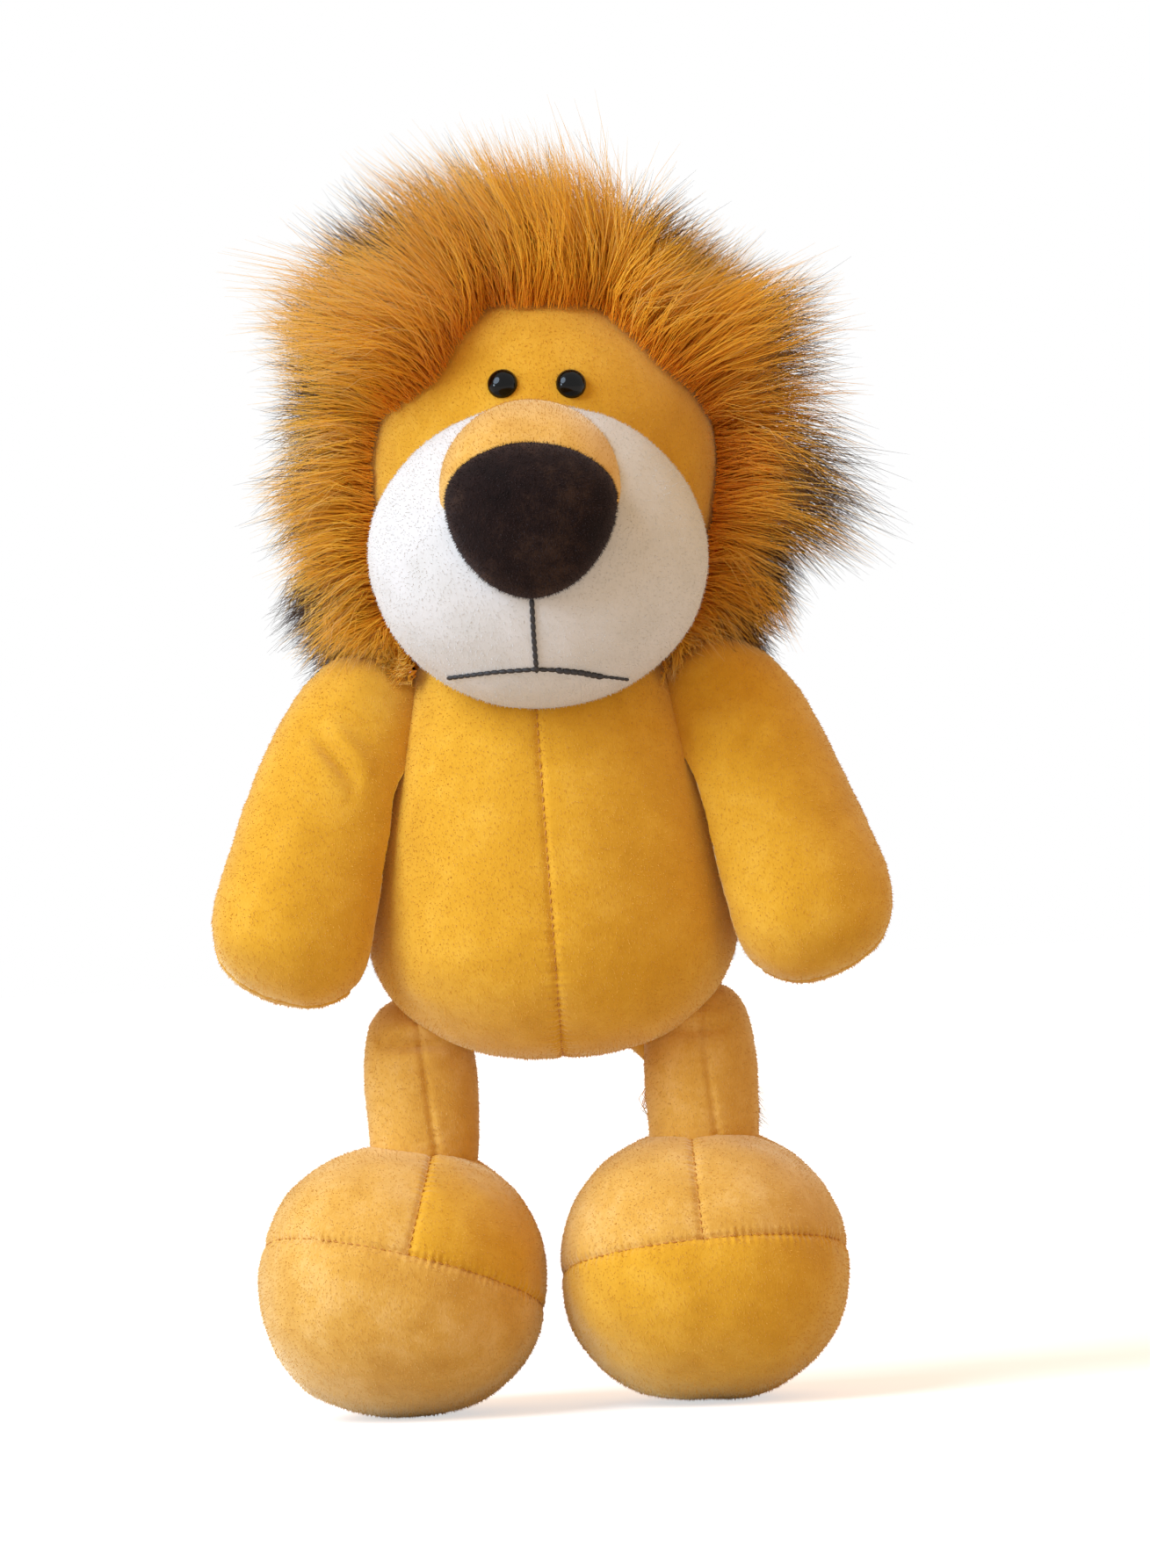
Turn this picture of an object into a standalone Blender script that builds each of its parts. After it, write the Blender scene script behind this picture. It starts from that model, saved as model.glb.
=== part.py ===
"""Plush lion, about 360 mm tall, standing upright on two round feet.

Metres, +Z up. The face looks along -Y. The origin is on the floor, under the
middle of the toy. Every padded form is a swollen egg. Its cover is the form
less the same form drawn in by the cloth, and its stuffing is the form drawn in
by the cloth and a gap. Smaller forms are cut by the larger ones that they are
sewn to, and a limb turns in a round hollow about its own seam.
"""

from math import atan2, cos, hypot, pi, radians, sin, sqrt

import bmesh
import bpy
from mathutils import Matrix, Vector

MM = 0.001

# Cloth, seams and clearances
CLOTH = 1.5 * MM
GAP = 0.3 * MM
SOLE_FLAT = 0.5 * MM
OVERRUN = 400 * MM

# Trunk
BODY_HALF_WIDTH = 54 * MM
BODY_HALF_DEPTH = 46 * MM
BELLY_OVER_HIP = 37 * MM
NECK_OVER_BELLY = 74 * MM
BODY_UP = 98 * MM
BODY_DOWN = 41 * MM
BODY_BAG_DEPTH = 16 * MM

# Head, measured from the neck
HEAD_TILT = 3
HEAD_HALF_WIDTH = 52 * MM
HEAD_HALF_DEPTH = 48 * MM
HEAD_HALF_HEIGHT = 57 * MM
HEAD_RISE = 54 * MM
HEAD_BACK = 10 * MM

# Muzzle, snout bridge and nose
MUZZLE_HALF_WIDTH = 48.5 * MM
MUZZLE_HALF_DEPTH = 38 * MM
MUZZLE_HALF_HEIGHT = 43.5 * MM
MUZZLE_RISE = 28.5 * MM
MUZZLE_FORWARD = 34 * MM
BRIDGE_HALF_WIDTH = 26.5 * MM
BRIDGE_HALF_DEPTH = 34 * MM
BRIDGE_HALF_HEIGHT = 22 * MM
BRIDGE_RISE = 51 * MM
BRIDGE_FORWARD = 41 * MM
NOSE_HALF_WIDTH = 25 * MM
NOSE_HALF_DEPTH = 17 * MM
NOSE_HALF_HEIGHT = 22 * MM
NOSE_RISE = 38.4 * MM
NOSE_FORWARD = 70 * MM
NOSE_TAPER_SHARE = 0.12

# Safety eyes
EYE_RADIUS = 4 * MM
EYE_DOME = 2.8 * MM
EYE_RISE = 77 * MM
EYE_SPREAD = 9.6 * MM
SHANK_RADIUS = 1.3 * MM
SHANK_LENGTH = 8 * MM
WASHER_RADIUS = 5.5 * MM
WASHER_THICKNESS = 1.2 * MM

# Mane
MANE_REACH = 98 * MM
MANE_HALF_DEPTH = 50 * MM
MANE_DOWN = 100 * MM
MANE_RISE = 45 * MM
MANE_BACK = 24 * MM
MANE_LIFT = 4.5 * MM
FACE_HALF_WIDTH = 49.5 * MM
FACE_TOP = 99 * MM
FACE_DEPTH = 6 * MM

# Arms
SHOULDER_SPREAD = 51 * MM
SHOULDER_FORWARD = 4 * MM
SHOULDER_DROP = 15 * MM
SHOULDER_RADIUS = 17.5 * MM
ARM_HALF_WIDTH = 26 * MM
ARM_HALF_DEPTH = 24 * MM
ARM_REACH = 58 * MM
ARM_UP = 73 * MM
ARM_DOWN = 28 * MM
ARM_SPLAY = 20.5
ARM_FORWARD = 11
ARM_AXIS_YAW = 25
ARM_AXIS_RISE = 10

# Legs
LEG_SPREAD = 40 * MM
HIP_BACK = 5 * MM
HIP_RADIUS = 17.5 * MM
LEG_RADIUS = 16.5 * MM
ANKLE_RADIUS = 17.5 * MM
ANKLE_SINK = 3.5 * MM
LEG_LENGTH = 27 * MM
LEG_MOUTH_RADIUS = 9 * MM
HIP_FORWARD_LIMIT = 62

# Feet
FOOT_HALF_WIDTH = 42 * MM
FOOT_HALF_LENGTH = 46 * MM
FOOT_HALF_HEIGHT = 40 * MM
FOOT_BACK = 4.5 * MM
FOOT_OUTSET_LEFT = -2 * MM
FOOT_OUTSET_RIGHT = 8 * MM
FOOT_ROLL_LEFT = -3
FOOT_ROLL_RIGHT = 16
TOE_LIFT = 12
FOOT_BAG_DEPTH = 18 * MM

# Tail
TAIL_DROP = 18 * MM
TAIL_SEAT = 2 * MM
TAIL_ROOT_RADIUS = 7.5 * MM
TAIL_RADIUS = 6 * MM
TAIL_LENGTH = 66 * MM
TUFT_RADIUS = 11 * MM
TUFT_UP = 16 * MM
TUFT_DOWN = 18 * MM
TUFT_REACH = 9 * MM

# Outline of the face opening, as shares of its half width and of its height
# over the neck, from the top hairline down one side
FACE_OUTLINE_SHARES = (
    (0.32, 1.00), (0.57, 0.90), (0.89, 0.73), (0.99, 0.63), (1.00, 0.50), (0.96, 0.30),
)

# Reach of the mane's tips round the face, as shares of the longest, from the
# lion's left over the top of the head and round by its right, in even steps
MANE_REACH_SHARES = (
    0.92, 0.91, 0.90, 0.98, 0.92, 0.91, 0.95, 0.97, 0.97, 1.00, 1.00, 0.97, 0.91, 0.81, 0.77,
    0.76, 0.76, 0.79, 0.82, 0.83, 0.80, 0.75, 0.72, 0.72, 0.75, 0.80, 0.82, 0.82, 0.80, 0.82,
)

# Way of the tail from its root, as shares of its length: out of the back, then
# down behind the lion's left leg
TAIL_WAY_SHARES = (
    (0, 0, 0), (0.06, 0.11, -0.06), (0.16, 0.19, -0.13), (0.30, 0.25, -0.21),
    (0.44, 0.28, -0.34), (0.52, 0.30, -0.49),
)

# Roundness of the forms: 2 is an ellipse, more is fuller at the corners
ROUND = 2.0
FULL = 2.25
FULLER = 2.4
FULLEST = 3.0

# Facets round and up the forms
BIG, MEDIUM, SMALL, TINY = (24, 14), (20, 12), (16, 10), (12, 8)
MANE = (32, 14)
TUBE_ROUNDNESS = 2
WAY_STEPS = 3
BEND_STEPS = 4


def halved(facets):
    """Half the facets, so that stuffing's corners fall on corners of its cover."""
    return facets[0] // 2, facets[1] // 2


LEFT, RIGHT = 1, -1
SIDE_NAMES = {LEFT: "left", RIGHT: "right"}

# Colour and roughness of each cloth, from the photograph
FINISHES = {
    "golden velour": ((0.72, 0.36, 0.07), 0.85, 0.0),
    "white velour": ((0.80, 0.70, 0.58), 0.85, 0.0),
    "brown fleece": ((0.035, 0.018, 0.012), 0.75, 0.0),
    "long pile": ((0.50, 0.21, 0.03), 0.9, 0.0),
    "fibre stuffing": ((0.85, 0.85, 0.82), 0.95, 0.0),
    "pellet bag": ((0.55, 0.53, 0.48), 0.8, 0.0),
    "black plastic": ((0.01, 0.01, 0.01), 0.08, 0.0),
    "clear washer": ((0.75, 0.75, 0.73), 0.4, 0.0),
}


def clear_scene():
    for item in list(bpy.data.objects):
        bpy.data.objects.remove(item, do_unlink=True)


def put_in_scene(name, mesh):
    item = bpy.data.objects.new(name, mesh)
    bpy.context.scene.collection.objects.link(item)
    return item


def from_bmesh(name, shape, place=None):
    bmesh.ops.recalc_face_normals(shape, faces=shape.faces)
    mesh = bpy.data.meshes.new(name)
    shape.to_mesh(mesh)
    shape.free()
    if place is not None:
        mesh.transform(place)
    return put_in_scene(name, mesh)


def bent(value, power):
    return (1 if value >= 0 else -1) * abs(value) ** power


def egg(size, place, inset=0.0, up=ROUND, down=ROUND, plan=ROUND, facets=BIG):
    """A closed swollen form. size is half width, half depth, height up and height down."""
    half_width, half_depth, height_up, height_down = (value - inset for value in size)
    shape = bmesh.new()
    bmesh.ops.create_uvsphere(shape, u_segments=facets[0], v_segments=facets[1], radius=1)
    for vert in shape.verts:
        roundness = up if vert.co.z > 0 else down
        height = height_up if vert.co.z > 0 else height_down
        ring = hypot(vert.co.x, vert.co.y)
        spread = ring ** (2 / roundness)
        turn = vert.co / ring if ring > 0 else Vector((0, 0, 0))
        vert.co = (
            half_width * spread * bent(turn.x, 2 / plan),
            half_depth * spread * bent(turn.y, 2 / plan),
            height * bent(vert.co.z, 2 / roundness),
        )
    return from_bmesh("egg", shape, place)


def hollow(radius, facets=SMALL):
    """Radius of a faceted ball whose flats still clear a round of the given radius."""
    return radius / cos(pi / facets[0]) / cos(pi / facets[1] / 2)


def ball(radius, centre, facets=SMALL):
    return egg((radius,) * 4, Matrix.Translation(centre), facets=facets)


def block(low, high, place=None):
    shape = bmesh.new()
    size = Vector(high) - Vector(low)
    middle = (Vector(high) + Vector(low)) / 2
    bmesh.ops.create_cube(shape, size=1, matrix=Matrix.LocRotScale(middle, None, size))
    return from_bmesh("block", shape, place)


def beyond(point, normal):
    """A block that holds everything on the far side of a plane."""
    turn = Vector((0, 0, 1)).rotation_difference(Vector(normal)).to_matrix().to_4x4()
    place = Matrix.Translation(Vector(point)) @ turn
    return block((-OVERRUN, -OVERRUN, 0), (OVERRUN, OVERRUN, OVERRUN), place)


def turned(profile, columns, place):
    """A closed outline of radius and height points, turned about its own Z."""
    shape = bmesh.new()
    verts = [shape.verts.new((radius, 0, height)) for radius, height in profile]
    edges = [shape.edges.new((a, b)) for a, b in zip(verts, verts[1:])]
    if profile[0][0] > 0:
        edges.append(shape.edges.new((verts[-1], verts[0])))
    bmesh.ops.spin(
        shape, geom=verts + edges, cent=(0, 0, 0), axis=(0, 0, 1),
        angle=2 * pi, steps=columns, use_merge=True, use_duplicate=False,
    )
    bmesh.ops.remove_doubles(shape, verts=shape.verts, dist=GAP / 100)
    return from_bmesh("turned", shape, place)


def combine(piece, other, operation, keep=False):
    """Apply a Boolean to a piece and drop the other shape, unless it is kept."""
    modifier = piece.modifiers.new(operation, "BOOLEAN")
    modifier.operation = operation
    modifier.object = other
    bpy.context.view_layer.update()
    evaluated = piece.evaluated_get(bpy.context.evaluated_depsgraph_get())
    mesh = bpy.data.meshes.new_from_object(evaluated)
    piece.modifiers.clear()
    piece.data = mesh
    if not keep:
        bpy.data.objects.remove(other, do_unlink=True)
    return piece


def cut(piece, *others):
    for other in others:
        combine(piece, other, "DIFFERENCE")
    return piece


def twin(piece):
    return put_in_scene(piece.name, piece.data.copy())


def material(finish):
    found = bpy.data.materials.new(finish)
    found.use_nodes = True
    colour, roughness, metallic = FINISHES[finish]
    shader = found.node_tree.nodes["Principled BSDF"]
    shader.inputs["Base Color"].default_value = (*colour, 1)
    shader.inputs["Roughness"].default_value = roughness
    shader.inputs["Metallic"].default_value = metallic
    return found


def joint_frame(name, point, turn=None, parent=None):
    """An empty on a joint's axis, which carries the pieces that turn with it."""
    empty = put_in_scene(name, None)
    world = Matrix.Translation(point) @ (turn or Matrix.Identity(4))
    if parent is not None:
        empty.parent = parent
        world = parent.matrix_world.inverted() @ world
    empty.matrix_basis = world
    bpy.context.view_layer.update()
    return empty


def keep_piece(piece, name, finish, frame):
    """Name a finished piece, give it its cloth and hang it on its joint's empty."""
    piece.name = name
    piece.data.name = name
    piece.data.transform(frame.matrix_world.inverted())
    piece.parent = frame
    piece.data.materials.clear()
    piece.data.materials.append(material(finish))
    piece.data.shade_smooth()
    piece.data.set_sharp_from_angle(angle=radians(40))
    return piece


# Heights, stacked from the floor: foot, leg, trunk, head
ANKLE_HEIGHT = 2 * FOOT_HALF_HEIGHT - SOLE_FLAT - ANKLE_SINK
HIP_HEIGHT = ANKLE_HEIGHT + LEG_LENGTH
BELLY_HEIGHT = HIP_HEIGHT + BELLY_OVER_HIP
NECK_HEIGHT = BELLY_HEIGHT + NECK_OVER_BELLY
TAIL_HEIGHT = BELLY_HEIGHT - TAIL_DROP

# Joint places, worked out from the sizes above
NECK = Vector((0, 0, NECK_HEIGHT))
HEAD_PLACE = Matrix.Translation(NECK) @ Matrix.Rotation(radians(HEAD_TILT), 4, "Y")


def shoulder(side):
    return Vector((side * SHOULDER_SPREAD, -SHOULDER_FORWARD, NECK_HEIGHT - SHOULDER_DROP))


def hip(side):
    return Vector((side * LEG_SPREAD, HIP_BACK, HIP_HEIGHT))


def ankle(side):
    return Vector((side * LEG_SPREAD, HIP_BACK, ANKLE_HEIGHT))


def body_reach(height, half=BODY_HALF_DEPTH):
    """How far the trunk swells from its middle at a height."""
    if height > BELLY_HEIGHT:
        return half * sqrt(1 - ((height - BELLY_HEIGHT) / BODY_UP) ** 2)
    return half * (1 - ((BELLY_HEIGHT - height) / BODY_DOWN) ** FULL) ** (1 / FULL)


def tail_root():
    return Vector((0, body_reach(TAIL_HEIGHT) + TAIL_SEAT, TAIL_HEIGHT))


def arm_axis(side):
    """Direction of the shoulder's hinge, square to the side of the trunk."""
    yaw, rise = radians(ARM_AXIS_YAW), radians(ARM_AXIS_RISE)
    return Vector((side * cos(yaw) * cos(rise), -sin(yaw) * cos(rise), sin(rise)))


def body_egg(inset=0.0, facets=BIG):
    size = (BODY_HALF_WIDTH, BODY_HALF_DEPTH, BODY_UP, BODY_DOWN)
    place = Matrix.Translation((0, 0, BELLY_HEIGHT))
    return egg(size, place, inset, down=FULL, facets=facets)


def turning_room(inset=0.0):
    """The round space that the trunk needs under a head that turns."""
    half = hollow(BODY_HALF_WIDTH + GAP + inset, BIG)
    size = (half, half, BODY_UP + GAP + inset, BODY_DOWN)
    room = egg(size, Matrix.Translation((0, 0, BELLY_HEIGHT)), down=FULL)
    top = NECK + Vector((0, 0, GAP + inset))
    return combine(room, beyond(top, (0, 0, 1)), "DIFFERENCE")


def limb_hollows():
    """Round hollows in the trunk for the shoulders, hips and tail root."""
    hollows = []
    for side in (LEFT, RIGHT):
        hollows.append(ball(hollow(SHOULDER_RADIUS + GAP), shoulder(side)))
        room = ball(hollow(HIP_RADIUS + GAP), hip(side))
        swing = Matrix.Rotation(radians(-HIP_FORWARD_LIMIT), 4, "X")
        radius = LEG_RADIUS + 2 * GAP
        profile = ((0, 0), (radius, 0), (radius, -3 * LEG_RADIUS), (0, -3 * LEG_RADIUS))
        shaft = turned(profile, SMALL[0], Matrix.Translation(hip(side)) @ swing)
        hollows.append(combine(room, shaft, "UNION"))
    hollows.append(ball(hollow(TAIL_ROOT_RADIUS + GAP, TINY), tail_root(), TINY))
    return hollows


def make_body(frame):
    shell = cut(body_egg(), body_egg(CLOTH), beyond(NECK, (0, 0, 1)), *limb_hollows())
    for side in (LEFT, RIGHT):
        for end, name in ((-1, "front"), (1, "back")):
            corner = Vector((side, end, 0)) * GAP / 2
            far = Vector((side, end, 0)) * OVERRUN
            low = (min(corner.x, far.x), min(corner.y, far.y), 0)
            high = (max(corner.x, far.x), max(corner.y, far.y), OVERRUN)
            panel = combine(twin(shell), block(low, high), "INTERSECT")
            keep_piece(panel, f"body_{name}_{SIDE_NAMES[side]}", "golden velour", frame)
    bpy.data.objects.remove(shell, do_unlink=True)

    filling = cut(body_egg(CLOTH + GAP, halved(BIG)), beyond(NECK, (0, 0, 1)), *limb_hollows())
    level = Vector((0, 0, BELLY_HEIGHT - BODY_DOWN + BODY_BAG_DEPTH))
    bag = cut(twin(filling), beyond(level, (0, 0, 1)))
    cut(filling, beyond(level + Vector((0, 0, GAP)), (0, 0, -1)))
    keep_piece(bag, "body_pellet_bag", "pellet bag", frame)
    keep_piece(filling, "body_stuffing", "fibre stuffing", frame)


def head_egg(inset=0.0, facets=BIG):
    size = (HEAD_HALF_WIDTH, HEAD_HALF_DEPTH, HEAD_HALF_HEIGHT, HEAD_HALF_HEIGHT)
    place = HEAD_PLACE @ Matrix.Translation((0, HEAD_BACK, HEAD_RISE))
    return egg(size, place, inset, down=FULLER, facets=facets)


def muzzle_egg(inset=0.0, facets=MEDIUM):
    size = (MUZZLE_HALF_WIDTH, MUZZLE_HALF_DEPTH, MUZZLE_HALF_HEIGHT, MUZZLE_HALF_HEIGHT)
    place = HEAD_PLACE @ Matrix.Translation((0, -MUZZLE_FORWARD, MUZZLE_RISE))
    return cut(egg(size, place, inset, facets=facets), turning_room(inset))


def bridge_egg(inset=0.0):
    size = (BRIDGE_HALF_WIDTH, BRIDGE_HALF_DEPTH, BRIDGE_HALF_HEIGHT, BRIDGE_HALF_HEIGHT)
    place = HEAD_PLACE @ Matrix.Translation((0, -BRIDGE_FORWARD, BRIDGE_RISE))
    return egg(size, place, inset, facets=SMALL)


def eye_place(side):
    """A frame on the head's cover with +Z pointing straight out of it."""
    x_share = side * EYE_SPREAD / HEAD_HALF_WIDTH
    z_share = (EYE_RISE - HEAD_RISE) / HEAD_HALF_HEIGHT
    y_share = -sqrt(1 - x_share ** 2 - z_share ** 2)
    point = Vector((
        x_share * HEAD_HALF_WIDTH, y_share * HEAD_HALF_DEPTH + HEAD_BACK, EYE_RISE,
    ))
    outward = Vector((
        x_share / HEAD_HALF_WIDTH, y_share / HEAD_HALF_DEPTH, z_share / HEAD_HALF_HEIGHT,
    )).normalized()
    turn = Vector((0, 0, 1)).rotation_difference(outward).to_matrix().to_4x4()
    return HEAD_PLACE @ Matrix.Translation(point) @ turn


def make_eye(side, frame):
    place = eye_place(side)
    dome = [
        (EYE_RADIUS * cos(pi / 2 * step / 5), GAP + EYE_DOME * sin(pi / 2 * step / 5))
        for step in range(5, -1, -1)
    ]
    dome[0] = (0, GAP + EYE_DOME)
    stem = [(SHANK_RADIUS, GAP), (SHANK_RADIUS, -SHANK_LENGTH), (0, -SHANK_LENGTH)]
    eye = turned(dome + stem, TINY[0], place)
    keep_piece(eye, f"eye_{SIDE_NAMES[side]}", "black plastic", frame)
    top = -CLOTH - 3 * GAP
    bore = SHANK_RADIUS + GAP
    washer = turned(
        ((bore, top), (WASHER_RADIUS, top), (WASHER_RADIUS, top - WASHER_THICKNESS),
         (bore, top - WASHER_THICKNESS)), TINY[0], place,
    )
    keep_piece(washer, f"eye_washer_{SIDE_NAMES[side]}", "clear washer", frame)


def eye_hole(side):
    radius = SHANK_RADIUS + GAP
    depth = SHANK_LENGTH + GAP
    profile = ((0, depth), (radius, depth), (radius, -depth), (0, -depth))
    return turned(profile, TINY[0], eye_place(side))


def washer_pocket(side):
    radius = WASHER_RADIUS + GAP
    depth = -CLOTH - 3 * GAP - WASHER_THICKNESS - GAP
    profile = ((0, SHANK_LENGTH), (radius, SHANK_LENGTH), (radius, depth), (0, depth))
    return turned(profile, TINY[0], eye_place(side))


def face_opening():
    """A prism through the front of the mane, in the outline of the face."""
    sides = [(x * FACE_HALF_WIDTH, z * FACE_TOP) for x, z in FACE_OUTLINE_SHARES]
    sides.append((sides[-1][0], -FACE_TOP))
    outline = sides + [(-x, z) for x, z in reversed(sides)]
    shape = bmesh.new()
    face = shape.faces.new([shape.verts.new((x, FACE_DEPTH, z)) for x, z in outline])
    grown = bmesh.ops.extrude_face_region(shape, geom=[face])
    moved = [item for item in grown["geom"] if isinstance(item, bmesh.types.BMVert)]
    bmesh.ops.translate(shape, verts=moved, vec=(0, -OVERRUN, 0))
    return from_bmesh("opening", shape, HEAD_PLACE)


def make_head(frame):
    neck_cut = NECK + Vector((0, 0, GAP))
    holes = [eye_hole(side) for side in (LEFT, RIGHT)]
    cover = cut(head_egg(), head_egg(CLOTH), beyond(neck_cut, (0, 0, -1)), *holes)
    keep_piece(cover, "head_cover", "golden velour", frame)
    pockets = [make(side) for side in (LEFT, RIGHT) for make in (eye_hole, washer_pocket)]
    filling = head_egg(CLOTH + GAP, halved(BIG))
    cut(filling, beyond(neck_cut, (0, 0, -1)), *pockets)
    keep_piece(filling, "head_stuffing", "fibre stuffing", frame)
    for side in (LEFT, RIGHT):
        make_eye(side, frame)

    cover = cut(muzzle_egg(), muzzle_egg(CLOTH), head_egg(-GAP))
    keep_piece(cover, "muzzle_cover", "white velour", frame)
    filling = cut(muzzle_egg(CLOTH + GAP, halved(MEDIUM)), head_egg(-GAP))
    keep_piece(filling, "muzzle_stuffing", "fibre stuffing", frame)

    bridge = cut(bridge_egg(), head_egg(-GAP), muzzle_egg(-GAP))
    keep_piece(bridge, "snout_bridge", "golden velour", frame)
    size = (NOSE_HALF_WIDTH, NOSE_HALF_DEPTH, NOSE_HALF_HEIGHT, NOSE_HALF_HEIGHT)
    nose = egg(size, Matrix.Identity(4), plan=FULL, facets=SMALL)
    for vert in nose.data.vertices:
        vert.co.x *= 1 + NOSE_TAPER_SHARE * vert.co.z / NOSE_HALF_HEIGHT
    nose.data.transform(HEAD_PLACE @ Matrix.Translation((0, -NOSE_FORWARD, NOSE_RISE)))
    cut(nose, muzzle_egg(-GAP), bridge_egg(-GAP))
    keep_piece(nose, "nose", "brown fleece", frame)


def mane_lining():
    """The head's outside from its widest level up, falling straight below it."""
    size = (HEAD_HALF_WIDTH, HEAD_HALF_DEPTH, HEAD_HALF_HEIGHT, MANE_DOWN)
    place = HEAD_PLACE @ Matrix.Translation((0, HEAD_BACK, HEAD_RISE))
    return egg(size, place, -GAP, down=FULLER)


def mane_reach(turn):
    """How far the tips reach at a turn round the face, read between the shares."""
    steps = len(MANE_REACH_SHARES)
    place = turn / (2 * pi) * steps % steps
    before, part = int(place), place % 1
    near, far = MANE_REACH_SHARES[before % steps], MANE_REACH_SHARES[(before + 1) % steps]
    return MANE_REACH * (near + (far - near) * part)


def mane_form():
    """The pile's envelope: a bun on its side, with the outline of the tips."""
    shape = bmesh.new()
    bmesh.ops.create_uvsphere(shape, u_segments=MANE[0], v_segments=MANE[1], radius=1)
    for vert in shape.verts:
        ring = hypot(vert.co.x, vert.co.y)
        turn = atan2(vert.co.y, vert.co.x)
        reach = mane_reach(turn) * ring ** (2 / FULLER)
        depth = MANE_HALF_DEPTH * bent(vert.co.z, 2 / FULLER)
        vert.co = (reach * cos(turn), -depth, reach * sin(turn))
    return from_bmesh("mane", shape, HEAD_PLACE @ Matrix.Translation((0, MANE_BACK, MANE_RISE)))


def make_mane(frame):
    mane = mane_form()
    bottom = NECK + Vector((0, 0, MANE_LIFT))
    cut(mane, beyond(bottom, (0, 0, -1)), mane_lining(), muzzle_egg(-GAP), face_opening())
    seam = HEAD_PLACE @ Vector((0, MANE_BACK, 0))
    front = cut(twin(mane), beyond(seam - Vector((0, GAP, 0)) / 2, (0, 1, 0)))
    back = cut(mane, beyond(seam + Vector((0, GAP, 0)) / 2, (0, -1, 0)))
    keep_piece(front, "mane_front", "long pile", frame)
    keep_piece(back, "mane_back", "long pile", frame)


def arm_place(side):
    splay = Matrix.Rotation(radians(-side * ARM_SPLAY), 4, "Y")
    forward = Matrix.Rotation(radians(-ARM_FORWARD), 4, "X")
    return Matrix.Translation(shoulder(side)) @ splay @ forward


def arm_form(side, inset=0.0, facets=SMALL):
    """The arm's swell, kept off the trunk by a plane square to the shoulder's axis."""
    size = (ARM_HALF_WIDTH, ARM_HALF_DEPTH, ARM_UP, ARM_DOWN)
    place = arm_place(side) @ Matrix.Translation((0, 0, -ARM_REACH))
    arm = egg(size, place, inset, up=FULLEST, down=FULL, facets=facets)
    axis = arm_axis(side)
    swell = Vector((BODY_HALF_WIDTH * axis.x, BODY_HALF_DEPTH * axis.y, BODY_UP * axis.z))
    reach = BELLY_HEIGHT * axis.z + swell.length + GAP + inset
    cut(arm, beyond(axis * reach, -axis))
    return combine(arm, ball(SHOULDER_RADIUS - inset, shoulder(side)), "UNION")


def make_arm(side, frame):
    name = SIDE_NAMES[side]
    shell = cut(arm_form(side), arm_form(side, CLOTH))
    seam = arm_place(side).to_3x3() @ Vector((0, 1, 0))
    middle = shoulder(side)
    front = cut(twin(shell), beyond(middle - seam * GAP / 2, seam))
    back = cut(shell, beyond(middle + seam * GAP / 2, -seam))
    keep_piece(front, f"arm_front_{name}", "golden velour", frame)
    keep_piece(back, f"arm_back_{name}", "golden velour", frame)
    filling = arm_form(side, CLOTH + GAP, halved(SMALL))
    keep_piece(filling, f"arm_stuffing_{name}", "fibre stuffing", frame)


def leg_outline(inset=0.0, mouth=0.0, steps=BEND_STEPS):
    """Radius and height points from the leg's top, down its side, to its bottom."""
    drop = HIP_HEIGHT - ANKLE_HEIGHT
    points = []
    for radius, level, up in ((HIP_RADIUS, 0, 1), (ANKLE_RADIUS, -drop, -1)):
        ball_radius, shaft = radius - inset, LEG_RADIUS - inset
        mouth_turn = pi / 2 if mouth == 0 else pi / 2 - mouth / ball_radius
        shaft_turn = -sqrt(1 - (shaft / ball_radius) ** 2)
        turns = [mouth_turn + (shaft_turn - mouth_turn) * step / steps for step in range(steps + 1)]
        arc = [(ball_radius * cos(turn), level + up * ball_radius * sin(turn)) for turn in turns]
        points += arc if up > 0 else arc[::-1]
    if mouth == 0:
        points[0] = (0, points[0][1])
        points[-1] = (0, points[-1][1])
    return points


def make_leg(side, frame):
    place = Matrix.Translation(hip(side))
    wall = leg_outline(0, LEG_MOUTH_RADIUS) + leg_outline(CLOTH, LEG_MOUTH_RADIUS)[::-1]
    cover = turned(wall, SMALL[0], place)
    keep_piece(cover, f"leg_cover_{SIDE_NAMES[side]}", "golden velour", frame)
    filling = turned(leg_outline(CLOTH + GAP), SMALL[0] // 2, place)
    keep_piece(filling, f"leg_stuffing_{SIDE_NAMES[side]}", "fibre stuffing", frame)


def foot_middle(side):
    outset = FOOT_OUTSET_LEFT if side == LEFT else FOOT_OUTSET_RIGHT
    height = FOOT_HALF_HEIGHT - SOLE_FLAT
    return Vector((side * (LEG_SPREAD + outset), FOOT_BACK, height))


def foot_egg(side, inset=0.0, facets=MEDIUM):
    size = (FOOT_HALF_WIDTH, FOOT_HALF_LENGTH, FOOT_HALF_HEIGHT, FOOT_HALF_HEIGHT)
    place = Matrix.Translation(foot_middle(side))
    return egg(size, place, inset, up=ROUND, down=FULL, plan=FULL, facets=facets)


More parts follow.
